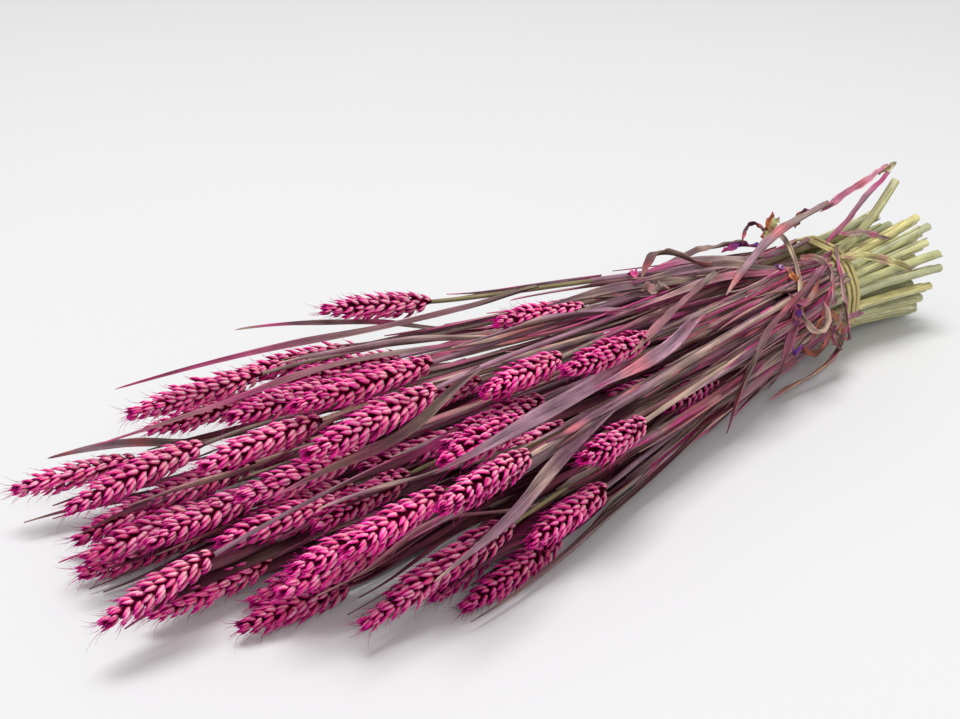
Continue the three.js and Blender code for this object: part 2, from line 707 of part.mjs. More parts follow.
// The tie: a band pulled tight round the outermost stalks, with a short flat stretch on the floor.
function tieSolid(stalks) {
  const discs = (grow) => stalks.flatMap((stalk) => [-1, 1].map((side) => {
    const x = TIE_X + (side * TIE_WIDTH) / 2;
    return [...placeAt(stalk, x), strandRadius(stalk, x) + grow];
  }));
  const inner = outlineRound(discs(SEAT_GAP), []);
  const rest = [-1, 1].map((side) => [TIE_CENTRE_Y + side * TIE_REST_HALF_WIDTH, 0]);
  const outer = outlineRound(discs(SEAT_GAP + TIE_THICKNESS), rest);
  const shape = new THREE.Shape(outer.map(([y, z]) => new THREE.Vector2(y, z)));
  shape.holes.push(new THREE.Path(inner.map(([y, z]) => new THREE.Vector2(y, z))));
  const band = new THREE.ExtrudeGeometry(shape, { depth: TIE_WIDTH, bevelEnabled: false });
  return solidFrom(band, ({ x, y, z }) => new THREE.Vector3(TIE_X - TIE_WIDTH / 2 + z, x, y));
}

function material(color, roughness) {
  return new THREE.MeshStandardMaterial({ color, roughness, metalness: 0 });
}

function buildBundle() {
  const { stalks, leaves, bunches, stray } = layOut();
  const group = new THREE.Group();
  const add = (name, solid, look) => {
    const mesh = new THREE.Mesh(geometryOf(solid), look);
    mesh.name = name;
    group.add(mesh);
  };
  const number = (i) => String(i + 1).padStart(2, "0");
  stalks.forEach((stalk) => add(`ear_${number(stalk.index)}`, earSolid(stalk), material(EAR_COLOUR, 0.8)));
  bunches.forEach((bunch, i) => {
    const solids = bunch.map(stalkSolid);
    for (const leaf of leaves) {
      if (leaf.bunch === i) solids.push(leafSolid(leaf));
    }
    if (stray.bunch === i) solids.push(foldSolid(stray));
    add(`stalks_${number(i)}`, wasm.Manifold.union(solids), material(STALK_COLOUR, 0.85));
  });
  add("tie_band", tieSolid(stalks), material(TIE_COLOUR, 0.7));
  const box = new THREE.Box3().setFromObject(group);
  const middle = box.getCenter(new THREE.Vector3());
  group.position.set(-middle.x, -middle.y, -box.min.z);
  return group;
}

export default buildBundle();
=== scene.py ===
import json
import math
import random
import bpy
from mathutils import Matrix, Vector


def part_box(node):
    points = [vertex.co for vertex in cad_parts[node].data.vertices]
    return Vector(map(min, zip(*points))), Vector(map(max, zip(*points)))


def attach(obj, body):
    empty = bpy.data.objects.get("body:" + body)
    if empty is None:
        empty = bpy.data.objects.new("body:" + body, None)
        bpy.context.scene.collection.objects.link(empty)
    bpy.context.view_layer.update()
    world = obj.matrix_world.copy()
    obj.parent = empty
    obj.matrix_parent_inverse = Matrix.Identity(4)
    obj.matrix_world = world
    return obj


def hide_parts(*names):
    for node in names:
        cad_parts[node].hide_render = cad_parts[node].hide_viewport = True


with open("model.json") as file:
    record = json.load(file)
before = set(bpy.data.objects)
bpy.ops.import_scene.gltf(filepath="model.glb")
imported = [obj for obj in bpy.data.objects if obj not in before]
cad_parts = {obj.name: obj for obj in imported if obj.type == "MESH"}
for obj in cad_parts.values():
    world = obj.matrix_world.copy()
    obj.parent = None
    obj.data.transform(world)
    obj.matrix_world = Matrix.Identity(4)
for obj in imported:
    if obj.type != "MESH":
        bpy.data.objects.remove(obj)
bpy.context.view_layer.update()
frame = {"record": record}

from types import SimpleNamespace

import bmesh
import bpy
import numpy as np
from mathutils import Matrix, Vector

bl_info = {
    "name": "Bundle of dried wheat",
    "version": (1, 0, 0),
    "blender": (4, 5, 0),
    "location": "3D View > Sidebar > Wheat",
    "description": "Dresses the solids of a tied bundle of dyed dried wheat",
    "category": "Object",
}

# Sizes below are in millimetres. X runs from the ears (-X) to the cut stems (+X), as in the solids.
MM = 0.001

SEED = 4857

# Where the strands lie, with the same values and rules as the solids have. Each strand has a place
# (y, z) in each of a row of upright planes, and the tie lies between two of these.
TIE_START = 202
TIE_END = 230
TIE_X = 216
STATIONS = [
    -380, -325, -270, -215, -160, -105, -50, 5, 60, 114, 168, TIE_START, TIE_END, 345,
]
TIE_CENTRE = (14, 41)
TIE_WIDTH = 12
TIE_REST_HALF_WIDTH = 9
TIE_REACH = 35.5
BAND_ROUNDS = 3
BAND_HALF_WIDTH = 1.6
BAND_THICKNESS = 1.6
CUT_END_SPREAD = 1.2
CUT_END_X = 302
CUT_END_JITTER = 22

# The stray stem that rises above the others beyond the tie heads for this (y, z) at the last plane.
STRAY_END = (25, 142)

# Clear gaps: between separate pieces, in the tie, within a bunch, where pieces seat, and above the
# floor.
GAP = 0.75
TIE_GAP = 0.3
BUNCH_GAP = 0.2
SEAT_GAP = 0.3
FLOOR_GAP = 0.6

# Stalks of one bunch press together in the tie to this share of their full distance, this near it.
PRESS = 0.78
PRESS_REACH = 20

# Radius of a stalk with its sheath from the ear to the cut end, as (x, radius).
STALK_RADIUS = [
    (-400, 1.7), (-180, 1.8), (-60, 2.1), (60, 2.5), (142, 3.1), (226, 4.1), (345, 4.0),
]

# Heights and widths over which the ears spread round the middle of the heap.
HEAP_MIDDLE_Z = 46
HEAP_HALF_HEIGHT = 44
HEAP_HALF_WIDTH = 100

# Half the width of an ear, how far past it a stalk keeps its own place, and how long the stalk
# carries on the ear's direction.
EAR_REACH = 9
EAR_HOME_REACH = 20
EAR_CARRY = 0.6

# Turn of an ear round its own length, in radians: most ears show their flatter side to the front.
EAR_ROLL = 2.1
EAR_ROLL_RANGE = 1.4

# How far the tip and the wings of a solid's spikelet stand out.
SPIKELET_TIP_OUT = 9
SPIKELET_WING_OUT = 3
SPIKELET_WING_UP = 6.6

# Places of the stalks in the tie: shells from the outside in, as (radius, count), and how many
# neighbouring stalks cling together in each bunch.
TIE_SHELLS = [(32.5, 21), (23.5, 15), (14.5, 9), (5, 4)]
BUNCH_SIZES = [5, 5, 5, 6, 5, 5, 5, 5, 8]

# Each ear's tip and base, as x, y, z, x, y, z.
EARS = [
    (-325, 105, 30, -255, 75, 45), (-316, 42, 45, -233, 51, 55), (-260, 94, 60, -177, 84, 70),
    (-309, 63, 15, -236, 55, 30), (-317, 29, 25, -245, 17, 40), (-316, 38, 8, -242, 28, 15),
    (-331, -36, 30, -266, -35, 50), (-302, -17, 12, -230, -18, 25), (-285, -15, 8, -215, -21, 8),
    (-295, -9, 45, -221, 1, 50), (-256, 12, 60, -183, 8, 65), (-233, 20, 80, -158, 30, 80),
    (-205, 3, 85, -110, 6, 85), (-255, -35, 70, -180, -42, 75), (-225, -48, 85, -137, -42, 85),
    (-193, 52, 75, -107, 46, 75), (-193, 101, 60, -108, 99, 60), (-246, 105, 40, -171, 101, 45),
    (-169, -82, 80, -100, -64, 75), (-149, -52, 70, -67, -31, 65), (-117, -45, 88, -49, -30, 85),
    (-73, -60, 90, 5, -52, 85), (-92, -90, 65, -30, -69, 60), (10, -55, 40, 70, -42, 40),
    (-45, 42, 75, 23, 29, 70), (-225, -93, 15, -124, -79, 42), (-270, -53, 10, -201, -59, 10),
    (-250, -59, 25, -177, -72, 38), (-251, -77, 50, -180, -82, 62), (-232, -94, 60, -163, -81, 65),
    (-190, -109, 75, -118, -88, 68), (-139, -71, 60, -64, -50, 55), (-182, -94, 15, -112, -76, 25),
    (-171, -100, 8, -88, -87, 12), (-128, -101, 30, -60, -87, 35), (-166, -1, 35, -94, -18, 45),
    (-217, -29, 40, -146, -8, 42), (-153, 11, 60, -73, 23, 60), (-261, -20, 30, -187, -26, 38),
    (-137, 87, 92, -69, 58, 88), (-19, -22, 35, 45, -32, 42), (-290, 78, 10, -215, 68, 12),
    (-235, 70, 22, -160, 60, 26), (-205, 98, 12, -130, 84, 16), (-140, 66, 35, -66, 54, 40),
    (-150, 20, 12, -74, 14, 18), (-255, -38, 8, -182, -44, 10), (-240, 0, 30, -166, -2, 34),
    (-280, 45, 38, -206, 44, 44),
]

# Each large leaf from its tip to where it leaves a stalk, with its width first.
LEAVES = [
    (5, (-254, 127, 60), (-183, 99, 78), (-105, 48, 88), (-20, 38, 84)),
    (4, (-185, 106, 96), (-141, 96, 90), (-60, 74, 78)),
    (5, (-179, 75, 78), (-145, 60, 84), (-60, 25, 86)),
    (5, (-301, 107, 44), (-279, 101, 50), (-220, 90, 58)),
    (5, (-285, 81, 55), (-244, 50, 68), (-205, 31, 84), (-160, 23, 92), (-100, 17, 92)),
    (6, (-289, 30, 45), (-252, 11, 56), (-180, -6, 70)),
    (6, (-239, -46, 66), (-225, -47, 72), (-140, -47, 80)),
    (7, (-224, -56, 66), (-196, -74, 76), (-140, -76, 84)),
    (9, (-178, -99, 84), (-136, -90, 90), (-86, -75, 90), (-20, -50, 84)),
    (6, (-193, -89, 48), (-182, -105, 62), (-148, -106, 72), (-100, -98, 72)),
    (5, (-234, -67, 22), (-219, -80, 28), (-140, -88, 42)),
    (9, (-184, -100, 4), (-179, -112, 22), (-160, -116, 46), (-132, -109, 62), (-60, -88, 66)),
    (6, (-169, -112, 5), (-134, -106, 6), (-45, -84, 10), (23, -62, 14), (100, -40, 20)),
    (4, (-322, 37, 20), (-298, 27, 24), (-220, 22, 34)),
    (8, (-56, -72, 84), (-30, -75, 86), (20, -62, 84)),
    (6, (-20, 66, 80), (30, 52, 84), (100, 34, 84)),
    (6, (20, -20, 90), (60, -8, 92), (142, 4, 88)),
    (7, (-100, 6, 92), (-40, 0, 96), (60, -4, 92)),
    (6, (-60, -90, 22), (0, -78, 26), (80, -50, 36)),
    (6, (0, -70, 56), (50, -56, 60), (142, -34, 62)),
    (6, (-40, 84, 40), (20, 64, 44), (100, 44, 50)),
    (6, (30, 56, 22), (80, 46, 26), (160, 34, 34)),
    (6, (40, 20, 88), (90, 18, 92), (168, 14, 84)),
    (6, (70, -46, 30), (110, -42, 34), (168, -30, 40)),
    (7, (56, 32, 88), (110, 32, 90), (160, 34, 86)),
    (8, (40, -30, 80), (90, -24, 82), (160, -6, 78)),
    (7, (60, -46, 50), (110, -36, 52), (160, -22, 52)),
    (6, (108, -32, 20), (150, -24, 22), (196, -16, 26)),
    (6, (104, 58, 60), (150, 54, 62), (196, 50, 58)),
    (6, (50, 64, 30), (100, 58, 32), (160, 48, 32)),
    (7, (-20, 20, 92), (50, 24, 94), (110, 22, 90)),
    (7, (-80, -70, 42), (-20, -64, 46), (56, -48, 50)),
]

# Turn of a leaf's blade in radians, and how far from the ear a leaf leaves its stalk at least.
LEAF_TILT = 0.9
LEAF_TWIST = 0.8
LEAF_ROOT_CLEAR = 12

# How the strands are moved apart: steps in all, the last ones without straightening, and how hard
# each step pushes, straightens, draws a strand to its own place and draws a bunch together.
STEPS = 420
LAST_STEPS = 120
PUSH = 1.4
STRAIGHTEN = 0.35
STRAIGHTEN_IN_TIE = 0.1
HOMING = 0.12
GATHER = 0.25
SAMPLES_PER_SPAN = 6
END_MARGIN = 6
SAMPLE_SPACING_AT_END = 18
TINY = 1e-6

# The curled leaves and scraps that hang round the tie: width, colour at the root, colour at the tip,
# turn of the blade in degrees, then the points that it runs through.
CURLS = [
    (5, "blush", "rose", 0, (292, 21, 114), (278, 20, 111), (262, 20, 107), (240, 20, 101),
     (220, 19, 96)),
    (4, "straw", "green", 0, (280, 20, 110), (290, 20.5, 113), (299, 21, 116)),
    (9, "taupe", "mauve", 5, (232, 20, 98), (208, 17, 97), (180, 12, 94), (155, 5, 91), (132, -4, 88),
     (112, -12, 84), (94, -18, 80)),
    (5.5, "mauve", "rose", 10, (288, 17, 111), (270, 13, 105), (250, 8, 98), (222, 0, 89), (200, -5, 85)),
    (3.5, "plum", "plum", 80, (168, 40, 76), (172, 44, 84), (180, 46, 88), (187, 43, 87), (190, 36, 80)),
    (4, "mauve", "cream", 70, (190, 36, 82), (184, 18, 86), (172, -2, 84), (160, -20, 76),
     (150, -32, 66), (142, -38, 56), (136, -42, 50)),
    (6, "taupe", "plum", 20, (177, 45, 75), (158, 51, 74), (140, 52, 75), (123, 54, 71), (104, 58, 70)),
    (6, "tan", "plum", 60, (112, 7, 86), (96, 8, 91), (83, 19, 97), (70, 22, 99), (60, 19, 96),
     (51, 14, 90)),
    (5, "orange", "orange", 40, (190, 42, 76), (196, 44, 84), (202, 46, 92)),
    (4, "orange", "rust", 60, (155, -14, 82), (155, -18, 76), (162, -20, 69), (166, -26, 70)),
    (5, "purple", "purple", 10, (151, -6, 82), (156, -8, 76), (162, -9, 69)),
    (11, "purple", "purple", 50, (134, -32, 36), (140, -34, 35), (144, -38, 31)),
    (4, "purple", "plum", 20, (146, -33, 65), (140, -38, 61), (133, -42, 57)),
    (4.5, "tan", "tan", 90, (153, -29, 62), (146, -40, 57), (150, -44, 51), (158, -45, 50),
     (164, -42, 57), (167, -35, 63)),
    (3, "taupe", "blush", 40, (218, 0, 78), (210, -10, 70), (204, -20, 62), (199, -27, 53),
     (204, -28, 36), (210, -26, 18)),
    (5, "rust", "tan", 50, (191, -22, 44), (197, -27, 35), (198, -31, 25), (187, -36, 17),
     (170, -38, 12), (150, -38, 9), (120, -40, 7)),
    (6, "rose", "taupe", 30, (190, -14, 74), (160, -30, 74), (125, -42, 70), (100, -50, 64),
     (84, -56, 52), (74, -56, 32), (62, -58, 10)),
    (7, "tan", "taupe", 70, (46, 8, 88), (48, -2, 89), (52, -10, 93)),
    (6.5, "taupe", "rose", 20, (82, -20, 99), (59, -30, 98), (33, -38, 95), (6, -48, 91), (-20, -56, 88)),
    (4, "pink", "pink", 20, (60, 34, 84), (54, 24, 91), (46, 14, 92)),
    (6, "purple", "pink", 30, (184, 38, 72), (170, 44, 74), (156, 47, 72)),
    (4.5, "tan", "taupe", 20, (226, 6, 82), (247, 0, 80), (268, -6, 74)),
    (6, "straw", "straw", 20, (214, -8, 72), (241, -16, 68), (258, -22, 61), (271, -25, 55)),
    (4, "plum", "plum", 70, (208, 30, 84), (216, 34, 90), (222, 30, 94)),
    (5, "straw", "green", 30, (182, 32, 80), (190, 34, 87), (196, 34, 93)),
    (6, "rust", "rose", 80, (186, -14, 72), (172, -26, 72), (158, -34, 68), (146, -34, 68),
     (138, -30, 74)),
    (5, "tan", "mauve", 85, (174, -6, 83), (186, -12, 80), (190, -22, 72), (186, -28, 60),
     (178, -32, 50)),
    (4.5, "plum", "rust", 60, (184, -30, 44), (178, -36, 36), (166, -40, 29), (156, -38, 30),
     (152, -32, 36)),
    (6, "mauve", "rose", 20, (200, -10, 76), (176, -22, 74), (150, -32, 64), (128, -44, 48),
     (112, -52, 34)),
    (5, "rose", "rust", 60, (196, -20, 66), (180, -30, 60), (162, -40, 50), (150, -42, 40)),
    (2.2, "taupe", "plum", 40, (202, -24, 50), (193, -31, 41), (182, -35, 33), (185, -38, 24),
     (197, -33, 19)),
    (1.8, "plum", "plum", 70, (176, -36, 42), (185, -39, 34), (196, -37, 28), (204, -30, 31)),
    (2.4, "olive", "plum", 20, (207, -23, 42), (199, -31, 31), (188, -36, 22), (173, -40, 17)),
    (2, "rust", "taupe", 80, (192, -30, 34), (186, -36, 28), (178, -38, 30), (174, -36, 38)),
]

# The florets and glumes on one side of a spikelet, and the floret in its middle: place of the base out
# and across, lean out, lean across and the way that it faces in degrees, length and width as shares of
# a full floret, depth, and share of an awn. Each angle varies by the jitter.
FAN_SIDE = [
    (0.4, 2.5, 17, 14, 80, 0.76, 1.1, 2.5, 0.15),
    (0.9, 2.3, 28, 14, 52, 1.0, 1.0, 2.7, 1.0),
    (1.7, 0.9, 32, 7, 18, 0.98, 1.0, 2.7, 0.6),
]
FAN_MIDDLE = (1.2, 0, 20, 0, 0, 0.9, 0.9, 2.9, 0)
FAN_JITTER = 9

# Size of a spikelet from the ear's base (0) to its tip (1), and of the last one at the very tip.
SPIKELET_SCALE = [(0, 0.68), (0.16, 0.95), (0.3, 1.0), (0.62, 1.0), (1, 0.66)]
LAST_SPIKELET_SCALE = 0.66

# Where the first spikelet sits on an ear, how far before the ear's tip the last two sit, how much of the
# ear is left out when its spikelets are counted, and how much an ear may twist along its length.
FIRST_SPIKELET = 0.5
SPIKELETS_END = 11
LAST_SPIKELET_END = 10
UNCOUNTED_LENGTH = 8
EAR_TWIST = (-0.35, 0.35)

# How far before the ear's tip the rachis ends, and its radius from its foot (0) to its end (1).
RACHIS_END = 7
RACHIS_RADIUS = [(0, 1.2), (0.12, 3.2), (0.7, 2.8), (1, 1.2)]

# The shortest awn that is built, an awn's radius, and how many points every part but an awn exceeds.
AWN_LEAST = 1
AWN_RADIUS = 0.17
AWN_POINTS = 20

# Fibres start at another place of their pattern on each husk or strip, up to this far along.
HUSK_SHIFT = 400
STRIP_SHIFT = 3000

# An ear whose tip is lower than this gets painted shade: it is darker and less pale.
LIT_HEIGHT = 45

# An ear rests on the floor where its solid is lower than this. Other husks stay this far above the floor,
# and awns and curled leaves keep the least clearance.
RESTS_BELOW = 0.05
HUSK_CLEAR = 0.3
LEAST_CLEAR = 0.2

# How far the box of a piece may differ from the box of its solid.
EAR_SLACK = 9
STALKS_SLACK = 6

# Where the sheaths of a stem end, each at a collar, and half the length of the step there.
COLLAR_FROM_EAR = 25
COLLAR_X = (-70, 120)
COLLAR_SPACING = 50
LOWER_COLLAR_END = 180
COLLAR_STEP = 0.4

# Radius of a stem as a share of its solid's: above the first collar, in its sheath, in the lower sheath
# and past the tie. Then the rings of its hollow cut end, as how far inside and share of the radius.
STEM_SHARES = (0.66, 0.84, 0.78, 0.74)
HOLLOW_RINGS = [(0, 0.99), (0, 0.66), (6, 0.6)]

# Lengthwise ribs of a stem and their height as a share of its radius, and how much flatter a stem may be
# past the tie.
RIBS = 5
RIB_HEIGHT = 0.035
CUT_FLATTENING = 0.16

# The stalks are dyed up to this x, further on for those at larger y, and the dye fades over this length.
DYE_END_X = 201
DYE_END_SLANT = 0.5
DYE_END_JITTER = (-4, 4)
DYE_FADE = 14

# Straw is browner toward its cut end, from this x on and over this length.
BROWN_FROM_X = 285
BROWN_OVER = 40

# How many loose strips of sheath lie along the stalks of each bunch, and how far they reach.
STRIPS_PER_BUNCH = 60
STRIP_LENGTH = (60, 230)
STRIP_START = (-200, 140)
STRIP_END = 198
STRIP_HALF_WIDTH = (0.9, 2.5)
STRIP_LOWEST = 2.0

# Share of the outermost strips that run on over the tie, where these start, where they end from the
# tie's middle, and how far they lie outside their stalk there.
OVER_TIE_SHARE = 0.15
OVER_TIE_START = (60, 150)
OVER_TIE_END = (-16, 10)
OVER_TIE_LIFT = 3.2

# Leaves deep in the heap, darkened with painted shade, and the x that they don't pass.
LOW_LEAVES_PER_STALK = 3
LOW_LEAF_END_X = 140
LOW_LEAF_HALF_WIDTH = (1.8, 4)
LOW_LEAF_LOWEST = 1.5

# Pale strips of undyed sheath on the cut ends: where they start from the middle of the tie, and where
# they end from the end of their stalk.
CUT_SHEATHS_PER_STALK = 3
CUT_SHEATH_START = (-14, 10)
CUT_SHEATH_END = (-16, 5)
CUT_SHEATH_HALF_WIDTH = (1.6, 3.2)
CUT_SHEATH_LOWEST = 1.0

# A curled leaf that is shorter than this is fully crumpled, and a longer one is less so.
CRUMPLED_LENGTH = 45

# Colours of the dyed and undyed parts, as sRGB.
PALETTE = {
    # Painted shade: the crease colour of the husks, also laid on the rachis and on the dark leaves deep
    # in the heap.
    "husk_crease_shade": "#48001c",
    "husk": "#dc196c",
    # Pale chaff colour, laid on each husk's bulge as a painted highlight.
    "husk_pale": "#ffcce2",
    "husk_cream": "#fbd2bf",
    "husk_tip": "#dc1f94",
    "tan": "#b49888",
    "taupe": "#8f7c74",
    "mauve": "#987483",
    "plum": "#56343f",
    "rose": "#ae6078",
    "pink": "#c23c80",
    "blush": "#d592a6",
    "salmon": "#c8656b",
    "rust": "#a9603f",
    "olive": "#857c58",
    "straw": "#d4c98a",
    "green": "#b8ba86",
    "grey_green": "#b0b38f",
    "purple": "#7a37a2",
    "orange": "#d8854f",
    "cream": "#dbcf9d",
    # Painted shade inside the hollow cut ends of the stems.
    "hollow": "#4d4a2c",
    "band": "#bcab70",
    "floor": "#dadadb",
}

# Colours that parts take at random. A colour that is twice in a list is twice as likely.
BARE_STEM_TINTS = ["taupe", "mauve", "olive", "tan", "taupe"]
SHEATH_TINTS = ["pink", "rose", "taupe", "mauve", "pink", "tan"]
LOWER_SHEATH_TINTS = ["taupe", "mauve", "plum", "rose", "tan", "olive"]
CUT_STEM_TINTS = ["straw", "green", "green", "grey_green"]
CUT_SHEATH_TINTS = ["straw", "green", "grey_green", "grey_green"]

# Colours of a leaf or strip at its root and at its tip.
LEAF_TINTS = [
    ("tan", "rose"), ("taupe", "mauve"), ("mauve", "mauve"), ("rose", "taupe"), ("taupe", "rose"),
    ("taupe", "plum"),
]
STRIP_TINTS = [
    ("taupe", "mauve"), ("rose", "pink"), ("tan", "rose"), ("mauve", "plum"), ("taupe", "tan"),
    ("mauve", "taupe"), ("pink", "rose"), ("rose", "taupe"), ("tan", "mauve"),
]

# The floor lies this far under the bundle, in metres.
FLOOR_DROP = 0.0003

# The camera stands as the photographer did: angles in degrees, lens and sensor in mm.
CAMERA_AZIMUTH = -36
CAMERA_ELEVATION = 27
CAMERA_LENS = 50
CAMERA_SENSOR = 36
CAMERA_DISTANCE = 960
CAMERA_TARGET = (245, 25, 38)
TARGET_PIXEL = (828, 278)
IMAGE_SIZE = (960, 719)


def linear(colour):
    """Turns an sRGB hex colour into linear red, green, blue and alpha."""
    parts = [int(colour[i:i + 2], 16) / 255 for i in (1, 3, 5)]
    return (*[p / 12.92 if p <= 0.04045 else ((p + 0.055) / 1.055) ** 2.4 for p in parts], 1.0)


def lerp(a, b, t):
    return a + (b - a) * t


def table_at(table, x):
    """Value of a table of (x, value) rows at x, held flat beyond both ends."""
    return np.interp(x, [row[0] for row in table], [row[1] for row in table])


# Laying out the strands

def seeded_draws(seed):
    """Park-Miller generator: the same draws as the solids are laid out with."""
    state = seed
    while True:
        state = (state * 16807) % 2147483647
        yield state / 2147483647


def ear_radius(s):
    """Half the width of an ear at fraction s from its base (0) to its tip (1)."""
    if s < 0.14:
        return lerp(3.4, EAR_REACH, s / 0.14)
    if s < 0.66:
        return EAR_REACH
    return lerp(EAR_REACH, 3, (s - 0.66) / 0.34)


def leaf_half_width(width, s):
    """Half the width of a leaf at fraction s from its root (0) to its tip (1)."""
    half = width / 2
    if s < 0.3:
        return lerp(half * 0.55, half, s / 0.3)
    if s < 0.6:
        return half
    return lerp(half, 0.5, (s - 0.6) / 0.4)


def strand_radius(strand, x):
    if strand.kind == "leaf":
        return leaf_half_width(strand.width, (strand.end_x - x) / (strand.end_x - strand.tip_x)) + 0.1
    if x < strand.base_x:
        return ear_radius((strand.base_x - x) / (strand.base_x - strand.tip_x)) * strand.size
    return float(table_at(STALK_RADIUS, x)) * strand.size


def floor_radius(strand, x):
    """How far a strand reaches down: an ear lying on its flatter side reaches less."""
    radius = strand_radius(strand, x) + FLOOR_GAP
    if x >= strand.base_x or strand.kind == "leaf":
        return radius
    edge = abs(math.sin(strand.roll))
    flat = abs(math.cos(strand.roll))
    depth = max(SPIKELET_TIP_OUT * edge, SPIKELET_WING_OUT * edge + SPIKELET_WING_UP * flat)
    return radius * depth / SPIKELET_TIP_OUT


def place_at(strand, x):
    """Place (y, z) of a strand at any x, straight between two stations."""
    k = 0
    while k < len(STATIONS) - 2 and STATIONS[k + 1] < x:
        k += 1
    t = (x - STATIONS[k]) / (STATIONS[k + 1] - STATIONS[k])
    return lerp(strand.places[k], strand.places[k + 1], t)


def path_at(path, x):
    """Point of a given path of (x, y, z) corners, its end pieces carried on straight."""
    k = 0
    while k < len(path) - 2 and path[k + 1][0] < x:
        k += 1
    x0, y0, z0 = path[k]
    x1, y1, z1 = path[k + 1]
    t = (x - x0) / (x1 - x0)
    return [lerp(y0, y1, t), lerp(z0, z1, t)]


def tie_slots():
    """Slots in the tie, outermost shell first, each with its bunch number."""
    bunch_of = [bunch for bunch, size in enumerate(BUNCH_SIZES) for _ in range(size)]
    slots = []
    for radius, count in TIE_SHELLS:
        for i in range(count):
            angle = 2 * math.pi * (i + 0.5) / count - math.pi
            order = len(slots)
            slots.append(SimpleNamespace(
                order=order, bunch=bunch_of[order],
                y=radius * math.cos(angle), z=radius * math.sin(angle)))
    return slots


def assign_slots(slots):
    """Gives each ear the tie slot in the same direction from the middle."""
    ears = []
    for index, ear in enumerate(EARS):
        across = (ear[4] - TIE_CENTRE[0]) / HEAP_HALF_WIDTH
        up = (ear[5] - HEAP_MIDDLE_Z) / HEAP_HALF_HEIGHT
        ears.append((math.hypot(across, up), math.atan2(up, across), index))
    ears.sort(key=lambda ear: (-ear[0], ear[2]))
    chosen = {}
    first = 0
    for _, count in TIE_SHELLS:
        shell = sorted(ears[first:first + count], key=lambda ear: (ear[1], ear[2]))
        for i, ear in enumerate(shell):
            chosen[ear[2]] = slots[first + i]
        first += count
    return chosen


def make_stalk(index, slot, draws):
    """A stalk's first path: straight beyond the tie, and an easy curve from the tie to its ear."""
    tip_x, tip_y, tip_z, base_x, base_y, base_z = EARS[index]
    size = 0.94 + 0.12 * next(draws)
    cut_x = CUT_END_X + CUT_END_JITTER * (next(draws) - 0.5)
    roll = EAR_ROLL + EAR_ROLL_RANGE * (next(draws) - 0.5)
    slope_y = (tip_y - base_y) / (tip_x - base_x)
    slope_z = (tip_z - base_z) / (tip_x - base_x)
    places = []
    for x in STATIONS:
        beyond = max(0, x - TIE_END) / (CUT_END_X - TIE_END)
        spread = 1 + (CUT_END_SPREAD - 1) * beyond
        held_y = TIE_CENTRE[0] + slot.y * spread
        held_z = TIE_CENTRE[1] + slot.z * spread
        if x <= base_x:
            places.append([base_y + slope_y * (x - base_x), base_z + slope_z * (x - base_x)])
        elif x >= TIE_START:
            places.append([held_y, held_z])
        else:
            t = (x - base_x) / (TIE_START - base_x)
            ease = t * t * (3 - 2 * t)
            carry = EAR_CARRY * (TIE_START - base_x) * t * (1 - t) * (1 - t)
            places.append([lerp(base_y, held_y, ease) + slope_y * carry,
                           lerp(base_z, held_z, ease) + slope_z * carry])
    home = [list(p) if x < base_x + EAR_HOME_REACH else None for x, p in zip(STATIONS, places)]
    return SimpleNamespace(
        kind="stalk", index=index, slot=slot, bunch=slot.bunch, size=size, roll=roll,
        tip_x=tip_x, base_x=base_x, end_x=cut_x, first=places, home=home)


def make_leaf(index, stalks):
    """A leaf follows its listed path and is rooted on the nearest stalk."""
    width, *path = LEAVES[index]
    tip_x = path[0][0]
    root_station = next(k for k, x in enumerate(STATIONS) if x >= path[-1][0])
    root_x = STATIONS[root_station]
    places = [path_at(path, max(x, tip_x)) for x in STATIONS]
    root_y, root_z = places[root_station]

    def reach(stalk):
        y, z = stalk.first[root_station]
        return math.hypot(y - root_y, z - root_z)

    host = min((s for s in stalks if s.base_x < root_x - LEAF_ROOT_CLEAR), key=reach)
    home = [list(p) if x < root_x else None for x, p in zip(STATIONS, places)]
    return SimpleNamespace(
        kind="leaf", index=index, host=host, bunch=host.bunch, width=width, tip_x=tip_x,
        base_x=-math.inf, root_station=root_station, end_x=root_x, first=places, home=home)


def make_contacts(strands, xs):
    """Every pair of strands at every sample where they must keep apart, with the wanted distance."""
    radii = np.array([[strand_radius(s, x) for x in xs] for s in strands])
    tips = np.array([s.tip_x for s in strands])
    ends = np.array([s.end_x for s in strands])
    bases = np.array([s.base_x for s in strands])
    bunches = np.array([s.bunch for s in strands])
    leafy = np.array([s.kind == "leaf" for s in strands])
    i, j = np.triu_indices(len(strands), 1)
    low = (np.maximum(tips[i], tips[j]) - END_MARGIN)[:, None]
    high = (np.minimum(ends[i], ends[j]) + END_MARGIN)[:, None]
    inside = (xs >= low) & (xs <= high)
    both = radii[i] + radii[j]
    in_tie = (xs > TIE_START - PRESS_REACH) & (xs < TIE_END + PRESS_REACH)
    at_ear = (xs < bases[i][:, None]) | (xs < bases[j][:, None])
    apart = at_ear | (bunches[i] != bunches[j])[:, None]
    loose = apart | ~(leafy[i] | leafy[j])[:, None]
    wanted = np.where(apart, both + np.where(in_tie, TIE_GAP, GAP),
                      np.where(in_tie, both * PRESS, both + BUNCH_GAP))
    pair, sample = np.nonzero(inside & loose)
    return i[pair], j[pair], sample, wanted[pair, sample]


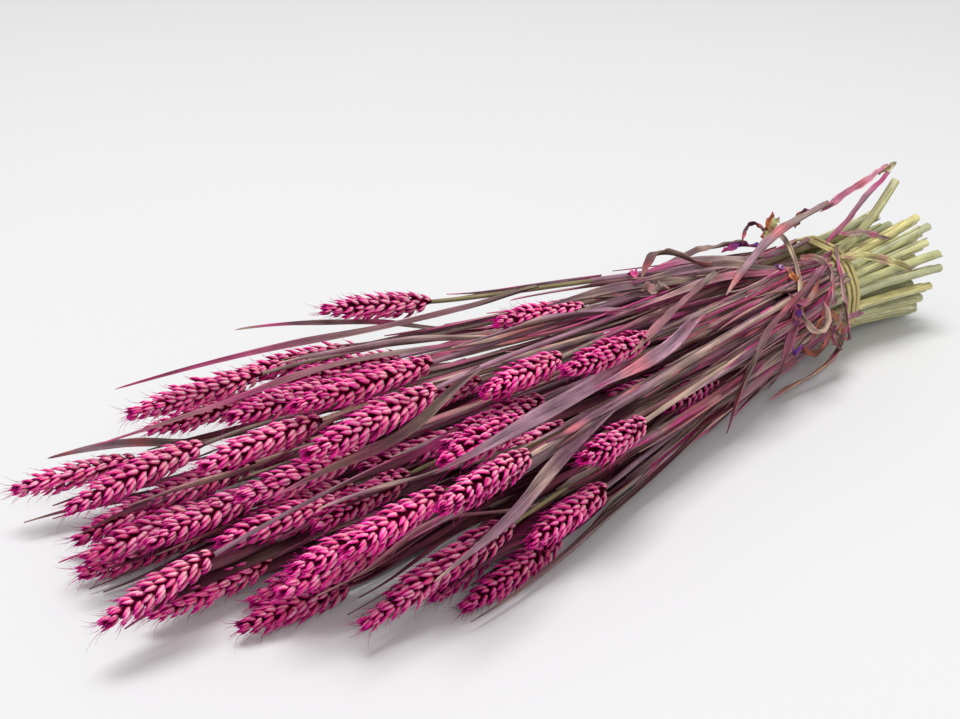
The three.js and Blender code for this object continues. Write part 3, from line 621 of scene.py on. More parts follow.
def push_apart(places, contacts, spans, shares):
    """Moves (y, z, weight) of every strand at every station away from strands that are too close."""
    first, second, sample, wanted = contacts
    at_samples = lerp(places[:, spans], places[:, spans + 1], shares[None, :, None])
    apart = at_samples[first, sample] - at_samples[second, sample]
    distance = np.hypot(apart[:, 0], apart[:, 1]) + TINY
    close = distance < wanted
    first, second, sample = first[close], second[close], sample[close]
    push = apart[close] * ((wanted[close] - distance[close]) / distance[close] / 2)[:, None]
    moves = np.zeros((*places.shape[:2], 3))
    for strand, sign in ((first, 1), (second, -1)):
        share = shares[sample]
        for station, weight in ((spans[sample], 1 - share), (spans[sample] + 1, share)):
            np.add.at(moves, (strand, station, 0), sign * push[:, 0] * weight)
            np.add.at(moves, (strand, station, 1), sign * push[:, 1] * weight)
            np.add.at(moves, (strand, station, 2), weight)
    return moves


def settle(places, homes, has_home):
    """Straightens every strand a little and draws it to its own place."""
    old = places.copy()
    for k in range(1, len(STATIONS) - 1):
        t = (STATIONS[k] - STATIONS[k - 1]) / (STATIONS[k + 1] - STATIONS[k - 1])
        share = STRAIGHTEN_IN_TIE if STATIONS[k] in (TIE_START, TIE_END) else STRAIGHTEN
        places[:, k] += share * (lerp(old[:, k - 1], old[:, k + 1], t) - old[:, k])
    places += HOMING * np.where(has_home[..., None], homes - places, 0)


def hold_in_tie(places, stalks):
    """Keeps every stalk inside the tie."""
    for x in (TIE_START, TIE_END):
        k = STATIONS.index(x)
        away = places[:len(stalks), k] - TIE_CENTRE
        reach = TIE_REACH - np.array([strand_radius(stalk, x) for stalk in stalks])
        scale = np.minimum(1, reach / (np.hypot(away[:, 0], away[:, 1]) + TINY))
        places[:len(stalks), k] = TIE_CENTRE + away * scale[:, None]


def lift_off_floor(places, needed, spans, shares):
    """Lifts strands that reach below the floor; needed holds -inf where a strand isn't there."""
    for sample, (k, t) in enumerate(zip(spans, shares)):
        lift = needed[:, sample] - lerp(places[:, k, 1], places[:, k + 1, 1], t)
        lift = np.maximum(lift, 0) / ((1 - t) * (1 - t) + t * t)
        places[:, k, 1] += lift * (1 - t)
        places[:, k + 1, 1] += lift * t


def gather(places, bunch):
    """Draws neighbours of one bunch together in the tie."""
    for a, b in zip(bunch, bunch[1:]):
        for x in (TIE_START, TIE_END):
            k = STATIONS.index(x)
            wanted = PRESS * (strand_radius(a, x) + strand_radius(b, x))
            apart = places[b.row, k] - places[a.row, k]
            distance = math.hypot(apart[0], apart[1])
            if distance > wanted:
                step = apart * (GATHER * (distance - wanted) / distance)
                places[a.row, k] += step
                places[b.row, k] -= step


def lay_out():
    """Lays out every stalk and leaf, as the solids are, and gives each its places."""
    draws = seeded_draws(SEED)
    slots = assign_slots(tie_slots())
    stalks = [make_stalk(i, slots[i], draws) for i in range(len(EARS))]
    leaves = [make_leaf(i, stalks) for i in range(len(LEAVES))]
    strands = stalks + leaves
    for row, strand in enumerate(strands):
        strand.row = row
    stray = max(stalks, key=lambda stalk: stalk.slot.z)
    stray.home[-1] = list(STRAY_END)
    in_order = sorted(stalks, key=lambda stalk: stalk.slot.order)
    bunches = [[s for s in in_order if s.bunch == i] for i in range(len(BUNCH_SIZES))]

    spans = np.repeat(np.arange(len(STATIONS) - 1), SAMPLES_PER_SPAN)
    shares = np.tile(np.arange(SAMPLES_PER_SPAN) / SAMPLES_PER_SPAN, len(STATIONS) - 1)
    stations = np.array(STATIONS, float)
    xs = lerp(stations[spans], stations[spans + 1], shares)
    contacts = make_contacts(strands, xs)
    needed = np.array([
        [floor_radius(s, x) if s.tip_x - END_MARGIN <= x <= s.end_x + SAMPLE_SPACING_AT_END else -np.inf
         for x in xs] for s in strands])
    has_home = np.array([[place is not None for place in s.home] for s in strands])
    homes = np.array([[place or [0, 0] for place in s.home] for s in strands], float)
    places = np.array([s.first for s in strands], float)

    for step in range(STEPS):
        moves = push_apart(places, contacts, spans, shares)
        places += moves[..., :2] * (PUSH / np.maximum(1, moves[..., 2:]))
        if step < STEPS - LAST_STEPS:
            settle(places, homes, has_home)
        hold_in_tie(places, stalks)
        lift_off_floor(places, needed, spans, shares)
        for bunch in bunches:
            gather(places, bunch)
        for leaf in leaves:
            places[leaf.row, leaf.root_station:] = places[leaf.host.row, leaf.root_station:]
    for strand in strands:
        strand.places = places[strand.row]
        strand.slopes = station_slopes(strand.places)
    return SimpleNamespace(stalks=stalks, leaves=leaves, bunches=bunches)


def station_slopes(places):
    """Slope of a strand at each station, for a smooth curve through them."""
    stations = np.array(STATIONS, float)[:, None]
    pieces = np.diff(places, axis=0) / np.diff(stations, axis=0)
    slopes = np.empty_like(places)
    slopes[0], slopes[-1] = pieces[0], pieces[-1]
    spans = np.diff(stations, axis=0)
    slopes[1:-1] = (pieces[:-1] * spans[1:] + pieces[1:] * spans[:-1]) / (spans[:-1] + spans[1:])
    return slopes


def centre_line(strand, xs):
    """Points (x, y, z) of a strand on a smooth curve through its stations."""
    stations = np.array(STATIONS, float)
    xs = np.asarray(xs, float)
    k = np.clip(np.searchsorted(stations, xs) - 1, 0, len(stations) - 2)
    span = stations[k + 1] - stations[k]
    t = ((xs - stations[k]) / span)[:, None]
    h00 = 2 * t ** 3 - 3 * t ** 2 + 1
    h10 = t ** 3 - 2 * t ** 2 + t
    h01 = 3 * t ** 2 - 2 * t ** 3
    h11 = t ** 3 - t ** 2
    span = span[:, None]
    places = (h00 * strand.places[k] + h10 * span * strand.slopes[k]
              + h01 * strand.places[k + 1] + h11 * span * strand.slopes[k + 1])
    return np.column_stack([xs, places])


def frame_shift():
    """How far the solids were moved to centre the object: the rest mount lies under the tie."""
    mounts = {mount["name"]: mount for mount in frame["record"]["mounts"]}
    place = mounts["rest"]["pos_m"]
    return np.array([place[0] / MM - TIE_X, place[1] / MM - TIE_CENTRE[0], 0.0])


LAYOUT = lay_out()
SHIFT = frame_shift()


# Shapes that are copied many times, made once

def new_mesh(name, bm):
    mesh = bpy.data.meshes.new(name)
    bm.to_mesh(mesh)
    bm.free()
    return mesh


def coordinates(mesh):
    places = np.empty(len(mesh.vertices) * 3)
    mesh.vertices.foreach_get("co", places)
    return places.reshape(-1, 3)


def tube_shape(sides, rings):
    """A straight closed tube of radius 1 from z = 0 to z = 1."""
    bm = bmesh.new()
    bmesh.ops.create_cone(bm, cap_ends=True, segments=sides, radius1=1, radius2=1, depth=1)
    bmesh.ops.translate(bm, vec=(0, 0, 0.5), verts=bm.verts)
    rails = [edge for edge in bm.edges if abs(edge.verts[0].co.z - edge.verts[1].co.z) > 0.5]
    bmesh.ops.subdivide_edges(bm, edges=rails, cuts=rings - 2, use_grid_fill=True)
    mesh = new_mesh("tube", bm)
    places = coordinates(mesh)
    return SimpleNamespace(
        mesh=mesh, rings=rings, ring=np.round(places[:, 2] * (rings - 1)).astype(int),
        cos=places[:, 0], sin=places[:, 1])


def grain_shape():
    """A husk round its grain: pointed at the front, keeled outside (+x) and flatter inside."""
    bm = bmesh.new()
    bmesh.ops.create_uvsphere(bm, u_segments=8, v_segments=5, radius=1)
    mesh = new_mesh("grain", bm)
    places = coordinates(mesh)
    along = (places[:, 2] + 1) / 2
    reach = np.hypot(places[:, 0], places[:, 1]) + TINY
    facing = places[:, 0] / reach
    aside = places[:, 1] / reach
    facing[reach < 0.01] = 0
    aside[reach < 0.01] = 0
    profile = table_at([(0, 0), (0.095, 0.55), (0.345, 1.0), (0.655, 0.76), (0.905, 0.2), (1, 0)], along)
    depth = np.where(facing > 0, 0.7 + 0.6 * facing ** 4, 0.5)
    shape = np.column_stack([
        profile * facing * depth + 0.8 * np.sin(math.pi * along) - 0.2 * along ** 3,
        profile * aside, along])
    return SimpleNamespace(mesh=mesh, shape=shape, along=along, facing=facing)


def awn_shape():
    """A bristle of three sides that thins to a point at z = 1."""
    bm = bmesh.new()
    bmesh.ops.create_cone(bm, cap_ends=True, segments=3, radius1=1, radius2=0.2, depth=1)
    bmesh.ops.translate(bm, vec=(0, 0, 0.5), verts=bm.verts)
    rails = [edge for edge in bm.edges if abs(edge.verts[0].co.z - edge.verts[1].co.z) > 0.5]
    bmesh.ops.subdivide_edges(bm, edges=rails, cuts=2, use_grid_fill=True)
    mesh = new_mesh("awn", bm)
    return SimpleNamespace(mesh=mesh, shape=coordinates(mesh))


def part(mesh, places, tints, straight):
    """A copy of a shape with its places in mm, colours, and places in its own straight length."""
    return SimpleNamespace(mesh=mesh, places=places, tints=tints, straight=straight)


def make_piece(name, parts, material):
    """Joins parts in one mesh object with its place in the mesh, and gives it a material."""
    bm = bmesh.new()
    for one in parts:
        bm.from_mesh(one.mesh)
    mesh = new_mesh(name, bm)
    places = (np.concatenate([one.places for one in parts]) + SHIFT) * MM
    mesh.vertices.foreach_set("co", places.ravel())
    tints = np.concatenate([one.tints for one in parts]).astype(np.float32)
    tint = mesh.color_attributes.new("tint", "FLOAT_COLOR", "POINT")
    tint.data.foreach_set("color", tints.ravel())
    along = (np.concatenate([one.straight for one in parts]) * MM).astype(np.float32)
    straight = mesh.attributes.new("straight", "FLOAT_VECTOR", "POINT")
    straight.data.foreach_set("vector", along.ravel())
    mesh.shade_smooth()
    mesh.update()
    mesh.materials.append(material)
    piece = bpy.data.objects.new(name, mesh)
    bpy.context.scene.collection.objects.link(piece)
    return piece


def colour(name):
    """A colour of the palette, linear, as set in the sidebar."""
    return np.array([*getattr(bpy.context.scene.wheat_colours, name), 1.0])


def mix(a, b, share):
    """Mixes two colours by a share for each vertex."""
    share = np.clip(np.asarray(share, float), 0, 1)[..., None]
    return a * (1 - share) + b * share


# Ears

def turned(lean_out, lean_across, face):
    """Rotation whose z axis leans out and across, and whose x axis, the keel, faces round."""
    upward = math.cos(lean_out) * math.cos(lean_across)
    ahead = Vector((math.sin(lean_out), math.sin(lean_across), upward))
    ahead.normalize()
    outward = Vector((math.cos(face), math.sin(face), 0))
    outward = (outward - ahead * outward.dot(ahead)).normalized()
    side = ahead.cross(outward)
    return np.array(Matrix((outward, side, ahead)).transposed())


def fan():
    """Rows of a whole spikelet: one side, its mirror image, and the floret in the middle."""
    rows = [(out, side * across, lean_out, side * lean_across, side * face, *sizes)
            for side in (-1, 1) for out, across, lean_out, lean_across, face, *sizes in FAN_SIDE]
    return [*rows, FAN_MIDDLE]


def spikelet_parts(ear, shapes, rng, sizes, at, round_axis, scale, ripe):
    """One spikelet at a height on the ear's straight axis, at an angle round it.

    ripe is 0 at the ear's base and 1 at its tip, where spikelets close and their awns are longest."""
    found = []
    closed = lerp(1, 0.3, max(0, ripe - 0.8) / 0.2)
    full_length, full_width = sizes.floret_length / MM, sizes.floret_width / MM
    for out, across, lean_out, lean_across, face, long, wide, depth, awn in fan():
        angles = (lean_out * closed, lean_across, face)
        turn = turned(*(math.radians(angle + rng.uniform(-FAN_JITTER, FAN_JITTER)) for angle in angles))
        grow = scale * rng.uniform(0.92, 1.08)
        base = np.array([
            out * closed * scale, across * lerp(0.5, 1, closed) * scale, at + rng.uniform(-0.4, 0.4)])
        size = np.array([depth / 2, wide * full_width / 2, long * full_length]) * grow
        straight = shapes.grain.shape * size
        tints = husk_tints(ear, shapes.grain, ripe, rng)
        found.append((shapes.grain, swung(straight @ turn.T + base, round_axis), tints,
                      straight + rng.uniform(0, HUSK_SHIFT)))
        reach = awn * sizes.awn_length / MM * lerp(0.3, 1.0, ripe ** 3) * rng.uniform(0.5, 1.2)
        if reach > AWN_LEAST:
            tip = np.array([0, 0, long * full_length]) * grow @ turn.T + base
            found.append(awn_part(ear, shapes, rng, reach, turn, tip, round_axis))
    return found


def awn_part(ear, shapes, rng, reach, turn, tip, round_axis):
    """An awn that carries on from the tip of its floret and bends away."""
    bend = np.array([rng.uniform(-0.3, 0.9), rng.uniform(-0.8, 0.8)]) * reach * 0.6
    along = shapes.awn.shape[:, 2]
    thin = shapes.awn.shape * (AWN_RADIUS, AWN_RADIUS, reach)
    thin[:, 0] += bend[0] * along ** 2
    thin[:, 1] += bend[1] * along ** 2
    tints = np.broadcast_to(mix(ear.awn_tint, ear.tip_tint, rng.random()), (len(thin), 4))
    local = swung(thin @ turn.T + tip, round_axis)
    return shapes.awn, local, tints, thin + rng.uniform(0, HUSK_SHIFT)


def swung(local, angle):
    """Turns places round the ear's straight axis."""
    cos, sin = math.cos(angle), math.sin(angle)
    return np.column_stack([
        local[:, 0] * cos - local[:, 1] * sin, local[:, 0] * sin + local[:, 1] * cos, local[:, 2]])


def husk_tints(ear, grain, ripe, rng):
    """Colours of one floret: painted shade in the creases, pale chaff with a painted highlight on its
    bulge, bright at its tip.
    """
    bulge = np.clip(grain.facing * 0.85 + 0.2, 0, 1) * np.sin(math.pi * np.clip(grain.along, 0.06, 0.94))
    # Painted shade: the crease colour darkens each husk where it faces in and toward its ends.
    tints = mix(ear.crease_tint, ear.husk_tint, 1.75 * bulge - 0.16)
    # Painted highlight: the husk's pale chaff colour, creamier toward the ear's base, laid on its most
    # bulging part; an ear in painted shade gets less.
    pale = mix(ear.pale_tint, ear.cream_tint, rng.random() * (1 - ripe) * 0.8)
    share = (bulge - 0.69) * 10 * ear.paleness * lerp(1.0, 0.5, ripe) * rng.uniform(0.35, 1.4)
    tints = mix(tints, pale, share)
    near_tip = (grain.along - 0.55) * lerp(1.4, 2.6, ripe)
    return mix(tints, ear.tip_tint, near_tip + 0.35 * rng.random() ** 2)


def ear_frame(stalk):
    """Directions of an ear: forward to its tip, out along its rows of spikelets, and across them."""
    tip = np.array([stalk.tip_x, *place_at(stalk, stalk.tip_x)])
    base = np.array([stalk.base_x, *place_at(stalk, stalk.base_x)])
    forward = (tip - base) / np.linalg.norm(tip - base)
    level = np.cross([0, 0, 1], forward)
    level /= np.linalg.norm(level)
    row = level * math.cos(stalk.roll) + np.cross(forward, level) * math.sin(stalk.roll)
    return SimpleNamespace(
        length=np.linalg.norm(tip - base), forward=forward, row=row, across=np.cross(forward, row))


def ear_parts(stalk, shapes, sizes, palette):
    """Every floret, awn and the rachis of one ear, bent along its stalk's line."""
    rng = random.Random(SEED + stalk.index)
    axes = ear_frame(stalk)
    count = round((axes.length - UNCOUNTED_LENGTH) / (sizes.spikelet_pitch / MM))
    found = rachis_parts(shapes, axes.length, palette)
    twist = rng.uniform(*EAR_TWIST)
    for i in range(count):
        s = i / (count - 1)
        at = FIRST_SPIKELET + s * (axes.length - SPIKELETS_END)
        angle = math.pi * (i % 2) + twist * s + rng.uniform(-0.16, 0.16)
        scale = float(table_at(SPIKELET_SCALE, s)) * stalk.size
        found += spikelet_parts(palette, shapes, rng, sizes, at, angle, scale, s)
    at, scale = axes.length - LAST_SPIKELET_END, LAST_SPIKELET_SCALE * stalk.size
    found += spikelet_parts(palette, shapes, rng, sizes, at, math.pi / 2, scale, 1.0)
    parts = []
    for shape, local, tints, straight in found:
        xs = stalk.base_x - SEAT_GAP / 2 - local[:, 2] / axes.length * (stalk.base_x - stalk.tip_x)
        centres = centre_line(stalk, xs)
        places = centres + local[:, :1] * axes.row + local[:, 1:2] * axes.across
        parts.append(part(shape.mesh, places, tints, straight))
    return parts


def rachis_parts(shapes, length, palette):
    """The stem inside the ear, thickened by the bases of the florets that sit on it."""
    tube = shapes.rachis
    along = tube.ring / (tube.rings - 1)
    radius = table_at(RACHIS_RADIUS, along)
    local = np.column_stack([radius * tube.cos, radius * tube.sin, along * (length - RACHIS_END)])
    # Painted shade: the rachis, deep inside the ear, takes the crease shade colour.
    tints = np.broadcast_to(palette.crease_tint, (len(local), 4))
    return [(tube, local, tints, local)]


def without_awns(parts):
    return [one for one in parts if len(one.places) > AWN_POINTS]


def seat_ear(parts, node):
    """Lets a low ear rest on the floor where its solid does, and keeps awns above the floor."""
    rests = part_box(node)[0].z / MM < RESTS_BELOW
    low = min(one.places[:, 2].min() for one in without_awns(parts))
    drop = low if rests else min(0, low - HUSK_CLEAR)
    for one in parts:
        one.places[:, 2] = np.maximum(one.places[:, 2] - drop, 0.0 if rests else LEAST_CLEAR)


def check_against(parts, node, slack):
    """Stops the script where a piece doesn't lie on the solid that it stands for."""
    low, high = (np.array(corner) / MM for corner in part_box(node))
    places = np.concatenate([one.places for one in without_awns(parts)]) + SHIFT
    off = max(np.abs(places.min(0) - low).max(), np.abs(places.max(0) - high).max())
    if off > slack:
        raise ValueError(f"{node} and its piece differ by {off:.1f} mm")


# Stalks, sheaths and leaves

def strand_part(tube, centres, across, up, tints, turn=0.0, straight_at=0.0):
    """A tube whose rings follow centres; across and up give each vertex's offset in its ring.

    turn rolls the rings, and straight_at shifts the pattern of fibres so that strands differ."""
    ring = tube.ring
    ahead = np.gradient(centres, axis=0)
    ahead /= np.linalg.norm(ahead, axis=1)[:, None]
    side = np.cross([0, 0, 1], ahead)
    side /= np.linalg.norm(side, axis=1)[:, None]
    over = np.cross(ahead, side)
    turn = np.broadcast_to(turn, len(centres))
    cos, sin = np.cos(turn)[:, None], np.sin(turn)[:, None]
    side, over = side * cos + over * sin, over * cos - side * sin
    places = centres[ring] + side[ring] * across[:, None] + over[ring] * up[:, None]
    along = length_along(centres)[ring] + straight_at
    straight = np.column_stack([along, across, up + 37 * straight_at % 91])
    return part(tube.mesh, places, tints, straight)


def steps_along(points):
    """Distance from each point of a line to the next."""
    return np.linalg.norm(np.diff(points, axis=0), axis=1)


def length_along(points):
    """Length of a line up to each of its points."""
    return np.concatenate([[0], np.cumsum(steps_along(points))])


def stem_part(stalk, shapes, rng):
    """A stem from its ear to its hollow cut end, with two sheaths that each end in a collar."""
    tube = shapes.stem
    start_x = stalk.base_x + SEAT_GAP / 2
    collar_x = rng.uniform(max(start_x + COLLAR_FROM_EAR, COLLAR_X[0]), COLLAR_X[1])
    lower_x = rng.uniform(collar_x + COLLAR_SPACING, LOWER_COLLAR_END)
    steps = [x + side * COLLAR_STEP for x in (collar_x, lower_x) for side in (-1, 1)]
    body = tube.rings - len(HOLLOW_RINGS)
    xs = np.linspace(start_x, stalk.end_x, body - len(steps))
    xs = np.sort(np.concatenate([xs, steps]))
    radius = stem_radii(stalk, xs, collar_x, lower_x)
    xs = np.concatenate([xs, [stalk.end_x - inside for inside, _ in HOLLOW_RINGS]])
    radius = np.concatenate([radius, [radius[-1] * share for _, share in HOLLOW_RINGS]])
    centres = centre_line(stalk, xs)
    flat = 1 - CUT_FLATTENING * np.clip((xs - TIE_X - 4) / 20, 0, 1) * rng.random()
    ribs = 1 + RIB_HEIGHT * np.cos(RIBS * np.arctan2(tube.sin, tube.cos))
    across = tube.cos * radius[tube.ring] * ribs
    up = tube.sin * (radius * flat)[tube.ring] * ribs
    dye_x = DYE_END_X + DYE_END_SLANT * place_at(stalk, TIE_X)[0] + rng.uniform(*DYE_END_JITTER)
    tints = stem_tints(xs, collar_x, lower_x, dye_x, rng)
    # Painted shade on the inner rim and inside of the hollow cut end.
    tints[-2:] = colour("hollow")
    made = strand_part(tube, centres, across, up, tints[tube.ring], 0.0, 53.0 * stalk.index)
    made.places[:, 0] = np.where(tube.ring >= body, centres[tube.ring, 0], made.places[:, 0])
    return made


def stem_radii(stalk, xs, collar_x, lower_x):
    """Radius of a stem at each x: thin and bare near its ear, thicker in its sheaths."""
    bare, upper, lower, cut = STEM_SHARES
    share = np.where(xs < collar_x, bare, np.where(xs < lower_x, upper, lower))
    share = lerp(share, cut, np.clip((xs - TIE_START + 10) / 20, 0, 1))
    radius = np.array([strand_radius(stalk, x) for x in xs])
    return radius * share * (1 + 0.03 * np.sin(xs * 0.21 + stalk.index))


def stem_tints(xs, collar_x, lower_x, dye_x, rng):
    """Colours along a stem: dyed up to the tie, and green straw where the dye didn't reach."""
    bare = colour(rng.choice(BARE_STEM_TINTS))
    sheath = colour(rng.choice(SHEATH_TINTS))
    lower = colour(rng.choice(LOWER_SHEATH_TINTS))
    cut = mix(colour(rng.choice(CUT_STEM_TINTS)), colour("cream"), rng.random() * 0.35)
    tints = np.where((xs < collar_x)[:, None], bare, np.where((xs < lower_x)[:, None], sheath, lower))
    tints = mix(tints, colour("plum"), 0.3 * np.sin(xs * 0.05 + rng.uniform(0, 6)) ** 2)
    tints = tints * rng.uniform(0.85, 1.35)
    tints = mix(tints, cut, (xs - dye_x) / DYE_FADE)
    return mix(tints, colour("olive"), 0.25 * np.clip((xs - BROWN_FROM_X) / BROWN_OVER, 0, 1))


def blade_offsets(tube, half, fold, thickness):
    """Offsets of a leaf's section: flat, folded up at both sides of its midrib."""
    flat = np.abs(tube.sin) > 0.01
    across = tube.cos * half[tube.ring]
    lift = np.abs(tube.cos) * half[tube.ring] * fold[tube.ring]
    return across, lift + np.where(flat, np.sign(tube.sin) * thickness / 2, 0)


def blade_tints(tube, tints):
    """Spreads the colours along a blade over its section: darker in the fold with painted shade, paler at
    both edges.
    """
    return tints[tube.ring] * lerp(0.72, 1.18, np.abs(tube.cos) ** 1.5)[:, None]


def leaf_turn(leaf, s):
    """Angle of a leaf's blade at fraction s from its root, each leaf its own."""
    return LEAF_TILT * math.sin(2.4 * leaf.index) + s * LEAF_TWIST * math.cos(1.7 * leaf.index)


def leaf_part(leaf, shapes, rng, thickness):
    """A long leaf with a folded, slightly waved blade, from its tip to its root."""
    tube = shapes.blade
    t = np.linspace(0, 1, tube.rings)
    s = 1 - t
    half = np.array([leaf_half_width(leaf.width, v) for v in s])
    half *= np.clip((t + 0.004) / 0.03, 0.08, 1)
    fold = 0.75 + 0.35 * np.sin(9 * t + leaf.index) + 0.6 * np.clip((t - 0.8) / 0.2, 0, 1)
    across, up = blade_offsets(tube, half, fold, thickness)
    wave = rng.uniform(0.2, 0.5) * np.sin(t * rng.uniform(14, 24) + leaf.index)
    up = up + (wave * half / 3)[tube.ring] * tube.cos
    tints = blade_tints(tube, leaf_tints(t, *rng.choice(LEAF_TINTS), rng))
    centres = centre_line(leaf, lerp(leaf.tip_x, leaf.end_x, t))
    turn = np.array([leaf_turn(leaf, v) for v in s])
    return strand_part(tube, centres, across, up, tints, turn, 71.0 * leaf.index)


def leaf_tints(t, root, tip, rng):
    """Colours along a dry leaf, streaked with darker lengths and a browned or pink tip."""
    tints = mix(colour(tip), colour(root), t + 0.2 * np.sin(t * 11 + rng.uniform(0, 6)))
    tints = mix(tints, colour("plum"), 0.25 * np.sin(t * rng.uniform(8, 16)) ** 2)
    blotch = np.clip(np.sin(t * rng.uniform(5, 14) + rng.uniform(0, 6)), 0, 1) ** 2
    tints = mix(tints, colour(rng.choice(["pink", "rose", "tan", "salmon"])), 0.6 * blotch)
    tints = mix(tints, colour(rng.choice(["pink", "plum", "tan"])), 0.7 * np.clip(1 - t / 0.15, 0, 1))
    return tints * rng.uniform(0.66, 1.42)


def strip_part(stalk, shapes, rng, thickness):
    """A loose strip of sheath that lies along the outside of a stalk and lifts at its free end."""
    tube = shapes.strip
    low = rng.uniform(max(stalk.base_x + 6, STRIP_START[0]), STRIP_START[1])
    high = min(low + rng.uniform(*STRIP_LENGTH), STRIP_END)
    outermost = math.hypot(stalk.slot.y, stalk.slot.z) > TIE_SHELLS[1][0]
    if outermost and rng.random() < OVER_TIE_SHARE:
        low, high = rng.uniform(*OVER_TIE_START), TIE_X + rng.uniform(*OVER_TIE_END)
    t = np.linspace(0, 1, tube.rings)
    xs = lerp(low, high, t)
    centres = centre_line(stalk, xs)
    away = centres[:, 1:] - heap_middle(xs)
    angle = math.atan2(away[:, 1].mean(), away[:, 0].mean()) + rng.uniform(-1.3, 1.3)
    radius = np.array([strand_radius(stalk, x) for x in xs])
    lift = radius * 0.85 + rng.uniform(0.3, 2.5) + rng.uniform(0, 4) * np.clip(1 - t / 0.35, 0, 1) ** 2
    lift = np.maximum(lift, (radius + OVER_TIE_LIFT) * np.clip((xs - TIE_X + 22) / 14, 0, 1))
    move_out(centres, lift, angle, STRIP_LOWEST)
    half = rng.uniform(*STRIP_HALF_WIDTH) * np.clip((t + 0.02) / 0.25, 0.1, 1)
    fold = np.full(tube.rings, -0.45) + 0.2 * np.sin(7 * t)
    across, up = blade_offsets(tube, half, fold, thickness)
    tints = leaf_tints(t, *rng.choice(STRIP_TINTS), rng)
    turn = angle - math.pi / 2 + 0.5 * np.sin(5 * t + stalk.index)
    return strand_part(tube, centres, across, up, tints[tube.ring], turn, rng.uniform(0, STRIP_SHIFT))


def move_out(centres, lift, angle, lowest):
    """Moves the line of a strip out of its stalk, at an angle round it, but not below a height."""
    centres[:, 1] += lift * math.cos(angle)
    centres[:, 2] = np.maximum(centres[:, 2] + lift * math.sin(angle), lowest)


def low_leaf_part(stalk, shapes, rng, thickness):
    """A broad leaf, dark with painted shade, that lies deep in the heap, below an ear and the stalk
    behind it.
    """
    tube = shapes.strip
    t = np.linspace(0, 1, tube.rings)
    low = stalk.tip_x + rng.uniform(5, 30)
    high = min(stalk.base_x + rng.uniform(60, 170), LOW_LEAF_END_X)
    centres = centre_line(stalk, lerp(low, high, t))
    inward = -1 if centre_line(stalk, [stalk.base_x])[0, 1] > TIE_CENTRE[0] else 1
    centres[:, 1] += rng.uniform(2, 12) * inward + 2 * np.sin(t * 9 + stalk.index)
    heights = np.maximum(centres[:, 2] * rng.uniform(0.3, 0.7), LOW_LEAF_LOWEST)
    centres[:, 2] = heights + np.sin(t * 7 + stalk.index)
    half = rng.uniform(*LOW_LEAF_HALF_WIDTH) * np.clip((t + 0.02) / 0.3, 0.1, 1)
    across, up = blade_offsets(tube, half, np.full(tube.rings, 0.15), thickness)
    tints = leaf_tints(t, "plum", rng.choice(["plum", "mauve", "rose"]), rng)
    # Painted shade: the leaf takes most of the crease shade colour.
    tints = mix(tints, colour("husk_crease_shade"), 0.6)
    turn = rng.uniform(-0.5, 0.5) + 0.4 * np.sin(5 * t + stalk.index)
    return strand_part(tube, centres, across, up, tints[tube.ring], turn, rng.uniform(0, STRIP_SHIFT))


def cut_sheath_part(stalk, shapes, rng, thickness):
    """A pale strip of undyed sheath that wraps a stalk from the tie to its cut end."""
    tube = shapes.strip
    t = np.linspace(0, 1, tube.rings)
    low = TIE_X + rng.uniform(*CUT_SHEATH_START)
    high = stalk.end_x + rng.uniform(*CUT_SHEATH_END)
    centres = centre_line(stalk, lerp(low, high, t))
    angle = rng.uniform(-math.pi, math.pi)
    lift = strand_radius(stalk, TIE_X) * rng.uniform(0.75, 0.98) * np.clip(0.5 + 4 * t, 0, 1)
    move_out(centres, lift, angle, CUT_SHEATH_LOWEST)
    half = rng.uniform(*CUT_SHEATH_HALF_WIDTH) * np.clip(1.15 - t ** 6 * rng.uniform(0.2, 0.9), 0.2, 1)
    across, up = blade_offsets(tube, half, np.full(tube.rings, -0.5), thickness)
    pale = mix(colour(rng.choice(CUT_SHEATH_TINTS)), colour("cream"), rng.random() * 0.5)
    streaks = 0.35 * np.sin(t * rng.uniform(3, 8)) ** 2
    tints = mix(np.tile(pale, (tube.rings, 1)), colour("olive"), streaks)
    tints = mix(tints, colour(rng.choice(["mauve", "tan", "rose"])), 1 - 7 * t)[tube.ring]
    return strand_part(tube, centres, across, up, tints, angle - math.pi / 2, rng.uniform(0, STRIP_SHIFT))


def heap_middle(xs):
    """Middle (y, z) of all the stalks that are there at each x."""
    lines = np.array([centre_line(stalk, xs)[:, 1:] for stalk in LAYOUT.stalks])
    there = np.array([[x > stalk.base_x for x in xs] for stalk in LAYOUT.stalks])[..., None]
    return (lines * there).sum(0) / there.sum(0)


def smooth_path(points, count):
    """Evenly spaced points on a smooth curve through a few given ones."""
    points = np.array(points, float)
    ends = np.vstack([2 * points[0] - points[1], points, 2 * points[-1] - points[-2]])
    found = []
    for i in range(1, len(ends) - 2):
        p0, p1, p2, p3 = ends[i - 1:i + 3]
        for t in np.linspace(0, 1, 24, endpoint=False):
            found.append(0.5 * (2 * p1 + (p2 - p0) * t + (2 * p0 - 5 * p1 + 4 * p2 - p3) * t ** 2
                                + (3 * p1 - p0 - 3 * p2 + p3) * t ** 3))
    found = np.array(found + [points[-1]])
    length = length_along(found)
    even = np.linspace(0, length[-1], count)
    return np.column_stack([np.interp(even, length, found[:, axis]) for axis in range(3)])


